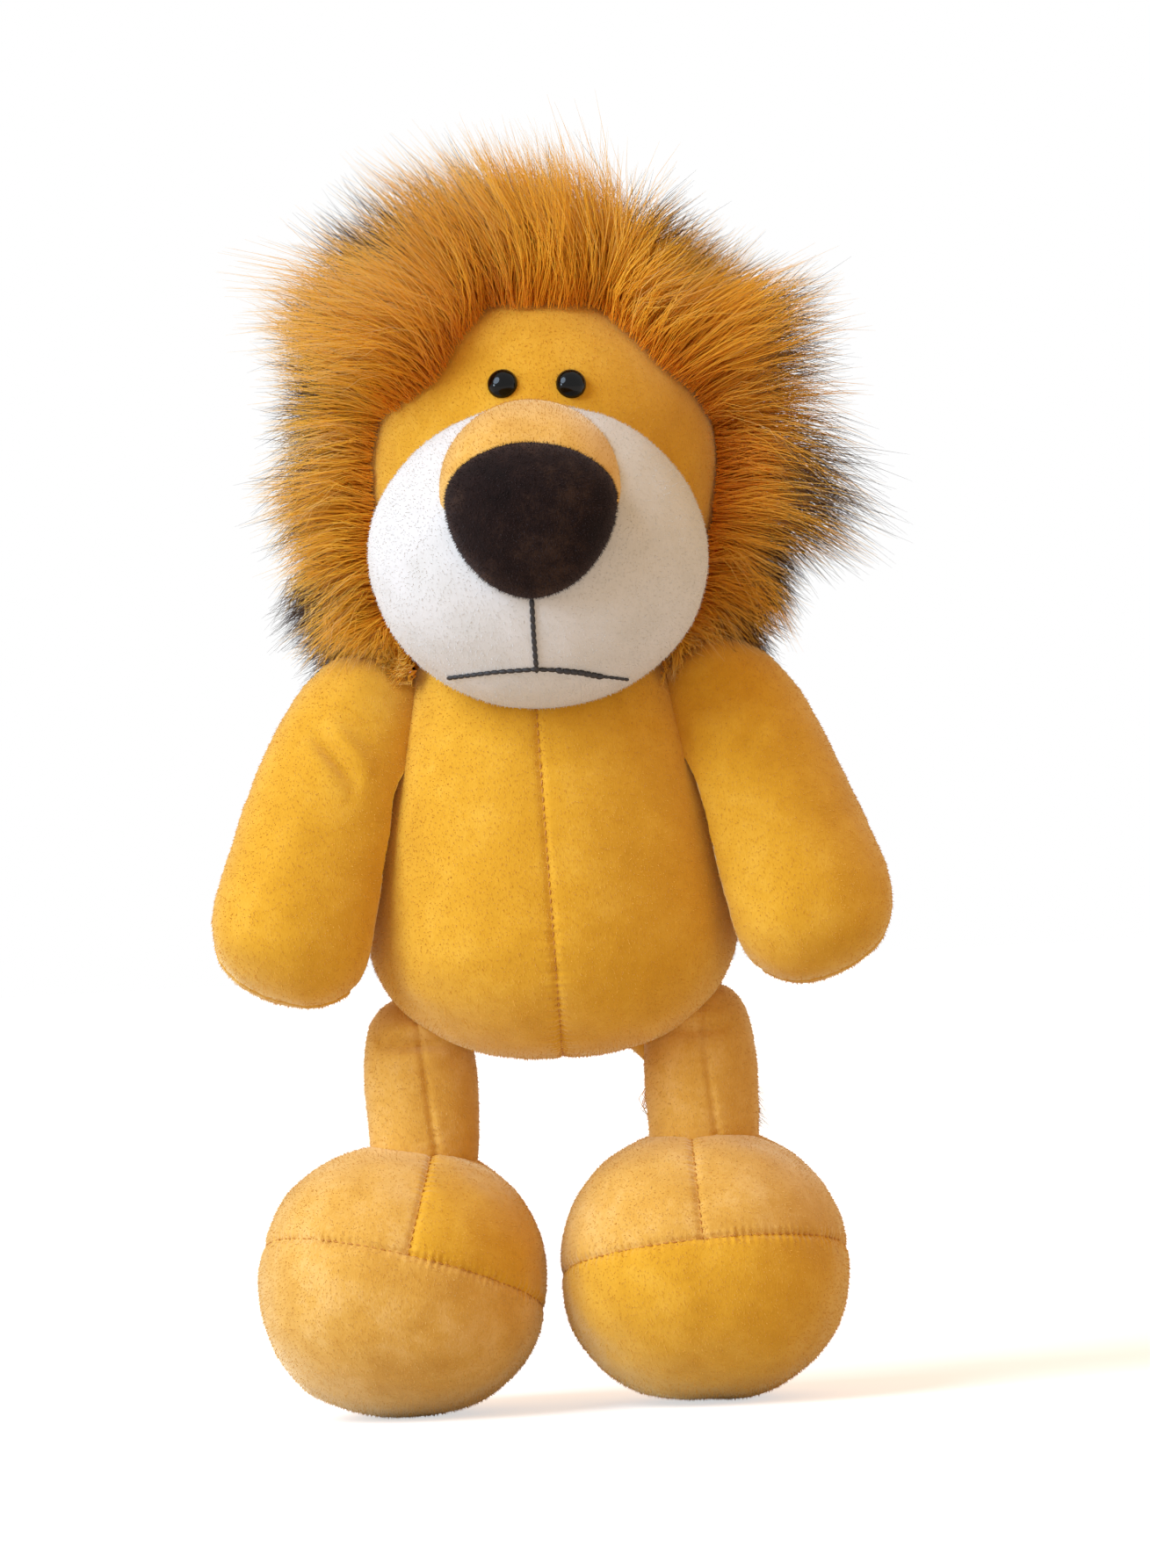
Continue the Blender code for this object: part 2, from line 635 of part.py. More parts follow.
def make_foot(side, frame):
    name = SIDE_NAMES[side]
    middle = foot_middle(side)
    roll = FOOT_ROLL_LEFT if side == LEFT else FOOT_ROLL_RIGHT
    turn = Matrix.Rotation(radians(roll), 3, "Y") @ Matrix.Rotation(radians(TOE_LIFT), 3, "X").inverted()
    up, across = turn @ Vector((0, 0, 1)), turn @ Vector((side, 0, 0))
    socket = ball(hollow(ANKLE_RADIUS + GAP), ankle(side))
    floor = Vector((0, 0, 0))

    shell = cut(foot_egg(side), foot_egg(side, CLOTH), beyond(floor, (0, 0, -1)), socket)
    sole = cut(twin(shell), beyond(middle - up * GAP / 2, up))
    upper = cut(shell, beyond(middle + up * GAP / 2, -up))
    outer = cut(twin(upper), beyond(middle + across * GAP / 2, -across))
    inner = cut(upper, beyond(middle - across * GAP / 2, across))
    keep_piece(sole, f"foot_sole_{name}", "golden velour", frame)
    keep_piece(outer, f"foot_outer_{name}", "golden velour", frame)
    keep_piece(inner, f"foot_inner_{name}", "golden velour", frame)

    filling = foot_egg(side, CLOTH + GAP, halved(MEDIUM))
    cut(filling, ball(hollow(ANKLE_RADIUS + GAP), ankle(side)))
    level = Vector((0, 0, FOOT_BAG_DEPTH))
    bag = cut(twin(filling), beyond(level, (0, 0, 1)))
    cut(filling, beyond(level + Vector((0, 0, GAP)), (0, 0, -1)))
    keep_piece(bag, f"foot_pellet_bag_{name}", "pellet bag", frame)
    keep_piece(filling, f"foot_stuffing_{name}", "fibre stuffing", frame)


def tail_way(grow=0.0):
    """A smooth line of points through the tail's way, drawn out at its end."""
    corners = [tail_root() + Vector(share) * TAIL_LENGTH for share in TAIL_WAY_SHARES]
    ends = [2 * corners[0] - corners[1]], [2 * corners[-1] - corners[-2]]
    line = ends[0] + corners + ends[1]
    points = []
    for a, b, c, d in zip(line, line[1:], line[2:], line[3:]):
        for step in range(WAY_STEPS):
            t = step / WAY_STEPS
            pull = (c - a) * t + (2 * a - 5 * b + 4 * c - d) * t ** 2 + (3 * b - a - 3 * c + d) * t ** 3
            points.append(b + pull / 2)
    return points + [corners[-1] + (corners[-1] - corners[-2]).normalized() * grow]


def tube(points, radius):
    """A round tube with closed ends along a line of points."""
    line = bpy.data.curves.new("line", "CURVE")
    line.dimensions = "3D"
    line.bevel_depth = radius
    line.bevel_resolution = TUBE_ROUNDNESS
    line.use_fill_caps = True
    spline = line.splines.new("POLY")
    spline.points.add(len(points) - 1)
    for place, point in zip(points, spline.points):
        point.co = (*place, 1)
    item = put_in_scene("line", line)
    bpy.context.view_layer.update()
    evaluated = item.evaluated_get(bpy.context.evaluated_depsgraph_get())
    shape = bmesh.new()
    shape.from_mesh(evaluated.to_mesh())
    bmesh.ops.remove_doubles(shape, verts=shape.verts, dist=GAP / 100)
    bpy.data.objects.remove(item, do_unlink=True)
    return from_bmesh("tube", shape)


def make_tail(frame):
    way = tail_way()
    root = ball(TAIL_ROOT_RADIUS, tail_root(), TINY)
    keep_piece(combine(root, tube(way, TAIL_RADIUS), "UNION"), "tail_tube", "golden velour", frame)
    down = (way[-1] - way[-2]).normalized()
    turn = Vector((0, 0, -1)).rotation_difference(down).to_matrix().to_4x4()
    size = (TUFT_RADIUS, TUFT_RADIUS, TUFT_UP, TUFT_DOWN)
    tuft = egg(size, Matrix.Translation(way[-1] + down * TUFT_REACH) @ turn, facets=TINY)
    cut(tuft, tube(tail_way(GAP), TAIL_RADIUS + GAP))
    keep_piece(tuft, "tail_tuft", "long pile", frame)


def build():
    clear_scene()
    trunk = joint_frame("trunk_frame", (0, 0, 0))
    head = joint_frame("head_frame", NECK, parent=trunk)
    tail = joint_frame("tail_frame", tail_root(), parent=trunk)
    make_body(trunk)
    make_head(head)
    make_mane(head)
    for side in (LEFT, RIGHT):
        name = SIDE_NAMES[side]
        arm = joint_frame(f"arm_frame_{name}", shoulder(side), parent=trunk)
        leg = joint_frame(f"leg_frame_{name}", hip(side), parent=trunk)
        foot = joint_frame(f"foot_frame_{name}", ankle(side), parent=leg)
        make_arm(side, arm)
        make_leg(side, leg)
        make_foot(side, foot)
    make_tail(tail)
    front, back = NOSE_FORWARD + NOSE_HALF_DEPTH, MANE_BACK + MANE_HALF_DEPTH
    trunk.location.y += (front - back) / 2


build()
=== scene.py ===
"""Looks of a plush lion: velour covers, a long-pile mane, seams, eyes, nose and mouth.

Metres, +Z up, the face looks along -Y. Sizes are named in millimetres.
"""

from math import atan2, cos, degrees, hypot, pi, radians, sin

import bmesh
import bpy
import numpy as np
from mathutils import Matrix, Vector, noise
from mathutils.bvhtree import BVHTree


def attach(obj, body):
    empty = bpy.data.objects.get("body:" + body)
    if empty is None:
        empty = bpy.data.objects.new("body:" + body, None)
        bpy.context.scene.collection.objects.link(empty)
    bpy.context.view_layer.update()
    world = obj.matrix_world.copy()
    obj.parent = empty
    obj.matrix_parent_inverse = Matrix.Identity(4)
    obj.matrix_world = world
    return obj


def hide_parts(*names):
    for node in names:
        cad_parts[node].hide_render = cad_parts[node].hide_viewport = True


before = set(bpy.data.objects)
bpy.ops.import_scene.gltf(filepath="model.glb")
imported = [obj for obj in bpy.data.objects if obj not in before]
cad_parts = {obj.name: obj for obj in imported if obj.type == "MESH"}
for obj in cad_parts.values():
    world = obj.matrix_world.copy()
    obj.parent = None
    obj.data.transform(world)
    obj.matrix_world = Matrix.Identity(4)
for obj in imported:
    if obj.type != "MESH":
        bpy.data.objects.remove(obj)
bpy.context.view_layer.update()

MM = 0.001
LEFT, RIGHT = 1, -1
SIDES = {LEFT: "left", RIGHT: "right"}

# Places of the joints and middles of the forms
FORWARD_SHIFT = 6.5
NECK = Vector((0, FORWARD_SHIFT, 214)) * MM
HEAD_TILT = 3
HEAD = Matrix.Translation(NECK) @ Matrix.Rotation(radians(HEAD_TILT), 4, "Y")
BELLY = Vector((0, FORWARD_SHIFT, 140)) * MM
SHOULDER_SPREAD, SHOULDER_FORWARD, SHOULDER_HEIGHT = 51, 4, 199
LEG_SPREAD, LEG_BACK, LEG_MIDDLE = 40, 5, 89.5
FOOT_SPREAD = {LEFT: 38, RIGHT: 48}
FOOT_BACK, FOOT_MIDDLE = 4.5, 39.5
TAIL_ROOT = Vector((0, 51.2, 122)) * MM

# Forms: half width, half depth, height up and height down
BODY_SIZE = (54, 46, 98, 41)
SKULL_SIZE = (52, 48, 57, 57)
MUZZLE_SIZE = (48.5, 38, 43.5, 43.5)
BRIDGE_SIZE = (28, 35, 29.8, 12)
NOSE_SIZE = (24.6, 17, 16.6, 28)
EYE_SIZE = (4.3, 4.3, 3.4, 1.5)
ARM_SIZE = (26, 24, 77, 28)
LEG_SIZE = (17, 17, 31, 31)
FOOT_SIZE = (42, 46, 40, 40)
TUFT_SIZE = (6.8, 6.8, 9, 9)

# Places in the head's own frame: aside, back and over the neck
SKULL_PLACE = (0, 10, 54)
MUZZLE_PLACE = (0, -34, 28.5)
BRIDGE_PLACE = (-2, -42, 43)
NOSE_PLACE = (-2, -70, 43.2)
EYE_SPREAD, EYE_RISE, EYE_SHIFT = 9.6, 77, -0.5
# Well ahead of the face, and the way from there to it
AHEAD, INWARD = -150, HEAD.to_3x3() @ Vector((0, 1, 0))

# Arms hang aside and a little forward, and stay off the trunk by a slanted plane
ARM_REACH, ARM_SPLAY, ARM_FORWARD = 58, 20.5, 11
ARM_YAW, ARM_RISE, ARM_ROOM = 25, 10, 28

# Folds pressed into the covers: from and to, aside and up, and how deep on each side
ARM_FOLD = ((14, -2), (1, -18), {LEFT: 1.0, RIGHT: 2.4})
LEG_FOLD = ((-12, 17.5), (10, 17.5), {LEFT: 0.8, RIGHT: 2.0})

# Feet: how far each rolls outward, and how far the toes point up
FOOT_ROLL = {LEFT: -3, RIGHT: 16}
TOE_LIFT = 12

# Roundness of the forms: 2 is an ellipse, more is fuller at the corners
SLENDER, ROUND, FULL, FULLER, FULLEST = 1.9, 2.0, 2.25, 2.4, 3.0

# Seams and the pile of the cloth
STITCH_PITCH = 2.4 * MM
SEAM_WIDTH = 1.2 * MM
SEAM_DEPTH = 0.75 * MM
SEAM_VALLEY = 0.4 * MM
SEAM_SPREAD = 6 * MM
SEAM_REACH = 14 * MM
# A seam's length for each radian round the form, and how far its puckers show
SEAM_TURN = 48 * MM
PUCKER_REACH = 3.2 * MM
BIG_LUMP, SMALL_LUMP = 24 * MM, 9 * MM
NAP_DENSITY = 0.7 / MM ** 2
NAP_HEIGHT, NAP_THICKNESS = 0.75 * MM, 0.1 * MM

# Outline of the face opening on each side: height over the neck, and half width. Its
# sides end at a depth behind the neck
FACE_DEPTH = 6
FACE_OUTLINE = {
    RIGHT: ((-20, 30), (0, 36), (14, 44), (29.7, 46), (43.3, 46.8), (56.8, 47.8),
            (66.8, 45.5), (78, 28.8), (88.3, 23), (99, 14.8)),
    LEFT: ((-20, 30), (0, 36), (14, 44), (29.7, 47), (39.8, 49.5), (56.8, 51),
           (66.8, 50.3), (75.8, 43.3), (82.5, 34.3), (90.5, 26.5), (99, 17)),
}

# How far the mane's tips reach round the face: angle, and distance from its middle
MANE_MIDDLE = (0, 45)
MANE_REACH = (
    (-42, 78), (-32, 76), (-20, 74), (-12, 75), (-6, 84), (3, 97), (9, 99), (16, 99),
    (22, 95), (28, 100), (35, 98), (42, 88), (52, 82), (60, 86), (68, 94), (78, 96),
    (90, 88), (100, 92), (114, 101), (124, 101), (134, 99), (142, 87), (150, 82),
    (158, 75), (170, 76), (185, 74), (198, 72), (210, 75), (222, 72),
)
MANE_REACH_BELOW = 82.5
# Lengths of its pile: at the face, behind the head and more on the crown
SHORTEST_PILE, LONGEST_PILE, BACK_PILE, CROWN_PILE = 16, 58, 22.5, 8
# How high and how low its tips come over the neck, then the ends of its cloth
MANE_TOP, MANE_FLOOR, HAIRLINE, COLLAR = 137, -9, 99, -4
# The cloth that holds the roots, and the backing: how far each lies outside the skull,
# and how far down it reaches
SCALP_OUT, SCALP_DOWN = 0.3, 100
BACKING_OUT, BACKING_DOWN = 1.4, 98.6
# Where many tips are dark: middle and width of the angle, and the share of dark tips
DARK_PATCHES = (
    (3, 14, 1.1), (33, 12, 1.1), (74, 10, 0.9), (100, 8, 0.6), (122, 14, 1.1),
    (165, 32, 1.0), (214, 24, 1.1), (-28, 24, 1.2),
)
DARK_ELSEWHERE = 0.4
PARTING = 17
MANE_RUNS = 6
MANE_DENSITY = 0.27 / MM ** 2
MANE_THICKNESS = 0.12 * MM
# What each vertex of a cloth with long pile keeps for the strands that grow there
STRAND_VALUES = ("start_way", "end_way", "reach", "dark", "thick")

# Way of the tail from its root, as shares of its length: out of the back, then down
TAIL_LENGTH = 66 * MM
TAIL_WAY = (
    (0, 0, 0), (0.06, 0.11, -0.06), (0.16, 0.19, -0.13), (0.30, 0.25, -0.21),
    (0.44, 0.28, -0.34), (0.52, 0.30, -0.49),
)
TAIL_RADIUS = 6.2
TUFT_PILE = 23 * MM

# Kinds of node, alone or with their operation
MATH, NOISE, RAMP = "ShaderNodeMath", "ShaderNodeTexNoise", "ShaderNodeValToRGB"
RANDOM, COMBINE = "FunctionNodeRandomValue", "ShaderNodeCombineXYZ"
PRINCIPLED, SURFACE = "ShaderNodeBsdfPrincipled", "ShaderNodeOutputMaterial"
REALIZE, INSTANCE = "GeometryNodeRealizeInstances", "GeometryNodeInstanceOnPoints"
STORE, NAMED = "GeometryNodeStoreNamedAttribute", "GeometryNodeInputNamedAttribute"
TIMES, TIMES_PLUS = (MATH, "MULTIPLY"), (MATH, "MULTIPLY_ADD")
SUM, LESS, SCALED = (("ShaderNodeVectorMath", operation) for operation in ("ADD", "SUBTRACT", "SCALE"))


def linear(code, alpha=1.0):
    """sRGB hex to a linear colour."""
    parts = [int(code[i:i + 2], 16) / 255 for i in (1, 3, 5)]
    return (*(p / 12.92 if p <= 0.04045 else ((p + 0.055) / 1.055) ** 2.4 for p in parts), alpha)


def add(tree, kind, inputs=None, output=0, stops=(), **settings):
    """Add a node with its settings and links. Returns one of its outputs, or the node
    itself where output is None. stops are a colour ramp's places and hex colours."""
    if isinstance(kind, tuple):
        kind, settings["operation"] = kind
    item = tree.nodes.new(kind)
    for key, value in settings.items():
        setattr(item, key, value)
    for key, value in (inputs or {}).items():
        if isinstance(value, bpy.types.NodeSocket):
            tree.links.new(value, item.inputs[key])
        else:
            item.inputs[key].default_value = value
    for index, (place, code) in enumerate(stops):
        band = item.color_ramp.elements
        stop = band[index] if index < len(band) else band.new(place)
        stop.position, stop.color = place, linear(code)
    return item if output is None or not item.outputs else item.outputs[output]


def chain(tree, kind, first, *rest):
    """Several values summed or multiplied one after the other."""
    for value in rest:
        first = add(tree, kind, {0: first, 1: value})
    return first


def drift(tree, place, cell, strength, detail=2.0):
    """A vector that turns this way and that from place to place, in cells of a size."""
    cloud = add(tree, NOISE, {"Vector": place, "Scale": 1 / cell, "Detail": detail}, output="Color")
    cloud = add(tree, LESS, {0: cloud, 1: (0.5, 0.5, 0.5)})
    return add(tree, SCALED, {0: cloud, "Scale": strength})


def blank_material(name):
    found = bpy.data.materials.new(name)
    found.use_nodes = True
    found.node_tree.nodes.clear()
    return found, found.node_tree


def velour(name, stops, sheen, weight, bump=0.35):
    """Knitted polyester velour, brushed short pile: matt, with a soft pale bloom where
    the pile is seen edge on, and cloudy patches where it lies another way."""
    found, tree = blank_material(name)
    place = add(tree, "ShaderNodeTexCoord", output="Object")
    # Patches of pile that lies another way, about 16 mm and 5 mm across
    clouds = add(tree, NOISE, {"Vector": place, "Scale": 1 / (16 * MM), "Detail": 3})
    patches = add(tree, NOISE, {"Vector": place, "Scale": 1 / (5 * MM), "Detail": 4, "Roughness": 0.65})
    # Tufts of pile, drawn as 0.45 mm where real ones are near 0.2 mm, so that they show
    squeezed = add(tree, "ShaderNodeMapping", {0: place, "Scale": (1, 1, 0.45)})
    tufts = add(tree, NOISE, {"Vector": squeezed, "Scale": 1 / (0.45 * MM), "Roughness": 0.6})
    level = add(tree, TIMES, {0: patches, 1: 0.3})
    level = add(tree, TIMES_PLUS, {0: clouds, 1: 0.45, 2: level})
    level = add(tree, TIMES_PLUS, {0: tufts, 1: 0.25, 2: level})
    colour = add(tree, RAMP, {0: level}, stops=stops)
    height = add(tree, TIMES_PLUS, {0: patches, 1: 0.5, 2: tufts})
    bumped = add(tree, "ShaderNodeBump", {"Height": height, "Distance": 0.3 * MM, "Strength": bump})
    shader = add(tree, PRINCIPLED, {
        "Base Color": colour, "Normal": bumped, "Roughness": 0.92, "Specular IOR Level": 0.15,
        "Sheen Weight": weight, "Sheen Roughness": 0.45, "Sheen Tint": linear(sheen),
    })
    add(tree, SURFACE, {0: shader})
    return found


def pile(name, kinds, sheen, weight, glow=0.0):
    """Polyester pile whose colour goes by the strand's tint and the place along it, with
    a pale sheen. glow is how much light its fine fibre lets through to its neighbours."""
    found, tree = blank_material(name)
    pair = add(tree, "ShaderNodeUVMap", uv_map="OFBake")
    parts = add(tree, "ShaderNodeSeparateXYZ", {0: pair}, output=None)
    tint, along = parts.outputs[0], parts.outputs[1]
    colour = None
    for start, stops in kinds:
        shade = add(tree, RAMP, {0: along}, stops=stops)
        if colour is None:
            colour = shade
            continue
        share = add(tree, "ShaderNodeMapRange", {0: tint, 1: start - 0.1, 2: start + 0.1})
        colour = add(tree, "ShaderNodeMix", {0: share, 6: colour, 7: shade}, output=2, data_type="RGBA")
    shader = add(tree, PRINCIPLED, {
        "Base Color": colour, "Roughness": 0.6, "Specular IOR Level": 0.25,
        "Sheen Weight": weight, "Sheen Tint": linear(sheen),
    })
    through = add(tree, "ShaderNodeBsdfTranslucent", {"Color": colour})
    both = add(tree, "ShaderNodeMixShader", {0: glow, 1: shader, 2: through})
    add(tree, SURFACE, {0: both})
    return found


def moulded(name, code, smooth, rough, mirror=0.5):
    """Moulded plastic whose polish is a little uneven, as if handled."""
    found, tree = blank_material(name)
    place = add(tree, "ShaderNodeTexCoord", output="Object")
    smudges = add(tree, NOISE, {"Vector": place, "Scale": 1 / (1.8 * MM), "Detail": 2})
    polish = add(tree, "ShaderNodeMapRange", {0: smudges, 3: smooth, 4: rough})
    shader = add(tree, PRINCIPLED, {
        "Base Color": linear(code), "Roughness": polish, "Specular IOR Level": mirror,
    })
    add(tree, SURFACE, {0: shader})
    return found


def thread(name, dark, light):
    """Twisted polyester sewing thread: fine slanted ply lines and a slight gloss."""
    found, tree = blank_material(name)
    place = add(tree, "ShaderNodeTexCoord", output="Object")
    squeezed = add(tree, "ShaderNodeMapping", {0: place, "Scale": (1, 1, 2.5)})
    ply = add(tree, NOISE, {"Vector": squeezed, "Scale": 1 / (0.35 * MM), "Detail": 2})
    colour = add(tree, RAMP, {0: ply}, stops=((0.3, dark), (0.7, light)))
    shader = add(tree, PRINCIPLED, {"Base Color": colour, "Roughness": 0.6})
    add(tree, SURFACE, {0: shader})
    return found


# Brushed golden velour: warm yellow ochre with a lighter bloom
GOLDEN = velour("golden velour", (
    (0.36, "#CC941E"), (0.5, "#D69F26"), (0.64, "#DFAC38"),
), "#FFF4C8", 0.9)
# The same cloth on snout, legs and feet as a paler copy with painted light: the bloom of light these parts
# catch is painted into its colour
PAINTED_LIT_GOLDEN = velour("painted lit golden velour", (
    (0.36, "#CA9436"), (0.5, "#D6A448"), (0.64, "#E2B668"),
), "#FFF4D0", 0.9)
# Brushed white velour: a clean warm white
WHITE = velour("white velour", (
    (0.38, "#D0D0CD"), (0.5, "#D6D6D4"), (0.62, "#DBDBDA"),
), "#FFFFFF", 0.15, 0.2)
# Brown fleece: near black, with a dull grey-brown bloom on top
FLEECE = velour("brown fleece", (
    (0.38, "#0E0605"), (0.5, "#1C100E"), (0.62, "#38281F"),
), "#8A7470", 0.35, 0.7)

GOLDEN_PILE = pile("golden velour pile", (
    (0.0, ((0, "#CA8C18"), (1, "#DEAA38"))),
    (0.5, ((0, "#D49A22"), (1, "#E8BE5C"))),
), "#FFF4C8", 0.7)
# The pile of that paler copy, with the same painted light in its colour
PAINTED_LIT_PILE = pile("painted lit golden velour pile", (
    (0.0, ((0, "#C89636"), (1, "#DCB05C"))),
    (0.5, ((0, "#D2A246"), (1, "#E4C078"))),
), "#FFF4D0", 0.7)
WHITE_PILE = pile("white velour pile", (
    (0.0, ((0, "#CECECB"), (1, "#D8D8D6"))),
    (0.5, ((0, "#D4D4D1"), (1, "#DDDDDC"))),
), "#FFFFFF", 0.1)
FLEECE_PILE = pile("brown fleece pile", (
    (0.0, ((0, "#120807"), (1, "#281916"))),
    (0.5, ((0, "#1F110F"), (1, "#402E2A"))),
), "#8A7470", 0.3)
# Long acrylic mane pile: orange roots, golden and tan lengths, some dark brown tips
MANE_PILE = pile("long mane pile", (
    (0.0, ((0, "#FFBC24"), (0.3, "#FFCE38"), (0.8, "#FFD248"), (1, "#FFD868"))),
    (0.34, ((0, "#FFC02C"), (0.3, "#FFD244"), (0.8, "#FFDC70"), (1, "#FFE298"))),
    (0.56, ((0, "#FFC43C"), (0.3, "#FFD868"), (0.8, "#FFE4A8"), (1, "#FFF0D4"))),
    (0.75, ((0, "#FFBC24"), (0.45, "#FFCC3C"), (0.62, "#B48850"), (0.78, "#5C4434"), (1, "#3C2C24"))),
), "#FFF0D0", 0.25, 0.5)

# Each cloth with its pile and its slot
GOLDEN_CLOTH = (GOLDEN, GOLDEN_PILE, "golden_velour")
# The paler copy of the golden cloth, with painted light in its colour, on the same slot
PAINTED_LIT_CLOTH = (PAINTED_LIT_GOLDEN, PAINTED_LIT_PILE, "golden_velour")
WHITE_CLOTH = (WHITE, WHITE_PILE, "white_velour")
FLEECE_CLOTH = (FLEECE, FLEECE_PILE, "brown_fleece")

GOLDEN_THREAD = thread("golden thread", "#A86A18", "#D2943A")
BLACK_THREAD = thread("black thread", "#0F0A09", "#2A2220")
# Moulded black acrylic: a deep gloss that mirrors the window
EYE_BLACK = moulded("black acrylic", "#020202", 0.05, 0.12, 0.22)
WASHER = moulded("clear acetal", "#D8D8D2", 0.35, 0.5)
# Fur backing: the shade between the roots
BACKING = velour("mane backing cloth", (
    (0.3, "#E89C20"), (0.5, "#F2A828"), (0.7, "#FAB434"),
), "#FFD890", 0.3)


def place_new(name, data):
    item = bpy.data.objects.new(name, data)
    bpy.context.scene.collection.objects.link(item)
    return item


def put(name, mesh, *materials):
    mesh.name = name
    item = place_new(name, mesh)
    # Clearing resets which material each face has, so an empty list is left alone
    if mesh.materials:
        mesh.materials.clear()
    for found in materials:
        mesh.materials.append(found)
    return item


def from_bmesh(name, shape, *materials):
    mesh = bpy.data.meshes.new(name)
    shape.to_mesh(mesh)
    shape.free()
    mesh.shade_smooth()
    return put(name, mesh, *materials)


def bent(value, power):
    return (1 if value >= 0 else -1) * abs(value) ** power


def egg(size, place, up=ROUND, down=ROUND, plan=ROUND, cuts=44):
    """A closed swollen form on an even grid, as a bmesh. size is in millimetres."""
    half_width, half_depth, height_up, height_down = (value * MM for value in size)
    shape = bmesh.new()
    bmesh.ops.create_cube(shape, size=2)
    bmesh.ops.subdivide_edges(shape, edges=shape.edges, cuts=cuts, use_grid_fill=True)
    for vert in shape.verts:
        spot = Vector([sin(c * pi / 4) / cos(c * pi / 4) for c in vert.co]).normalized()
        roundness = up if spot.z > 0 else down
        height = height_up if spot.z > 0 else height_down
        ring = hypot(spot.x, spot.y)
        spread = ring ** (2 / roundness)
        turn = spot / ring if ring > 1e-9 else Vector((0, 0, 0))
        vert.co = place @ Vector((
            half_width * spread * bent(turn.x, 2 / plan),
            half_depth * spread * bent(turn.y, 2 / plan),
            height * bent(spot.z, 2 / roundness),
        ))
    bmesh.ops.recalc_face_normals(shape, faces=shape.faces)
    return shape


def refine(shape, near, times=2):
    """Split the faces near the seams, so that they can hold the stitches' puckers."""
    for step in range(times):
        edges = [e for e in shape.edges if all(near(v.co) < 5 * MM / (step + 1) for v in e.verts)]
        bmesh.ops.subdivide_edges(shape, edges=edges, cuts=1, use_grid_fill=True)
    bmesh.ops.triangulate(shape, faces=[f for f in shape.faces if len(f.verts) > 4])


def smooth_step(value, low, high):
    share = min(max((value - low) / (high - low), 0), 1)
    return share * share * (3 - 2 * share)


def bell(value, width, power=2):
    """1 at zero, falling off smoothly over the width."""
    return 2.718 ** -((value / width) ** power)


def sculpt(shape, seams=(), creases=(), lumps=0.7, puckers=0.45, low=0.0, sink=0.8):
    """Draw the cloth in along the seams, with the small puckers that stitches pull, and
    give the stuffing its soft lumps. A seam is a function of a point that gives its
    distance from the seam and its place along it. A crease is the same, with no
    stitches. The cloth lies the height of its pile inside the form."""
    shape.normal_update()
    moves = []
    for vert in shape.verts:
        spot = vert.co
        push = lumps * (noise.noise(spot / BIG_LUMP) + 0.4 * noise.noise(spot / SMALL_LUMP)) - sink
        push *= MM
        for seam in seams:
            far, along = seam(spot)
            if far < SEAM_REACH:
                push -= SEAM_DEPTH * bell(far, SEAM_WIDTH) + SEAM_VALLEY * bell(far, SEAM_SPREAD)
                fade = bell(far, PUCKER_REACH, 1.3)
                ripple = sin(2 * pi * along / STITCH_PITCH)
                uneven = 0.7 + noise.noise(Vector((along / (7 * MM), far / (9 * MM), 3.1)))
                fold = noise.noise(Vector((along / (3.4 * MM), far / (16 * MM), 7.7)))
                push += puckers * MM * fade * (0.45 * ripple * uneven + 0.9 * fold)
        for crease in creases:
            far, depth = crease(spot)
            push += depth * (0.7 * bell(far - 4.5 * MM, 3 * MM) - bell(far, 2 * MM))
        moves.append(push)
    for vert, push in zip(shape.verts, moves):
        vert.co += vert.normal * push
        vert.co.z = max(vert.co.z, low)


def flat_seam(point, normal, keep=None):
    """A seam where a plane meets the cover. keep tells on which part of it."""
    normal = Vector(normal).normalized()
    side = normal.orthogonal().normalized()

    def seam(spot):
        if keep is not None and not keep(spot):
            return 1.0, 0.0
        offset = spot - point
        far = abs(offset.dot(normal))
        angle = atan2(offset.dot(side), offset.dot(normal.cross(side)))
        return far, angle * SEAM_TURN
    return seam


def fold(start, end, depth):
    """A fold in the front of a cover between two points, deepest in its middle."""
    way = end - start

    def crease(spot):
        offset = Vector((spot.x - start.x, 0, spot.z - start.z))
        share = min(max(offset.dot(way) / way.length_squared, 0), 1)
        far = (offset - way * share).length + max(spot.y - start.y, 0)
        return far, depth * sin(pi * (0.08 + 0.84 * share)) * (1 if 0 < share < 1 else 0.25)
    return crease


def tree_of(item):
    return BVHTree.FromObject(item, bpy.context.evaluated_depsgraph_get())


def trace(item, middle, first, second, start, end, steps=90, reach=0.3):
    """Points on a cover where rays go in to its middle, in a plane."""
    surface = tree_of(item)
    points = []
    for step in range(steps + 1):
        angle = radians(start + (end - start) * step / steps)
        way = (first * cos(angle) + second * sin(angle)).normalized()
        hit = surface.ray_cast(middle + way * reach, -way)
        if hit[0] is not None:
            points.append(hit[0])
    return points


def line_mesh(points):
    """A line of points as a mesh of edges, which a tree reads as a curve."""
    mesh = bpy.data.meshes.new("line")
    mesh.from_pydata([tuple(p) for p in points], [(i, i + 1) for i in range(len(points) - 1)], [])
    return put("line", mesh)


def new_tree(name, **sockets):
    """A geometry tree with named inputs. Returns it and its inputs."""
    tree = bpy.data.node_groups.new(name, "GeometryNodeTree")
    tree.interface.new_socket("Geometry", in_out="OUTPUT", socket_type="NodeSocketGeometry")
    for label, kind in {"Geometry": "Geometry", **sockets, "Material": "Material"}.items():
        tree.interface.new_socket(label, in_out="INPUT", socket_type=f"NodeSocket{kind}")
    return tree, tree.nodes.new("NodeGroupInput").outputs


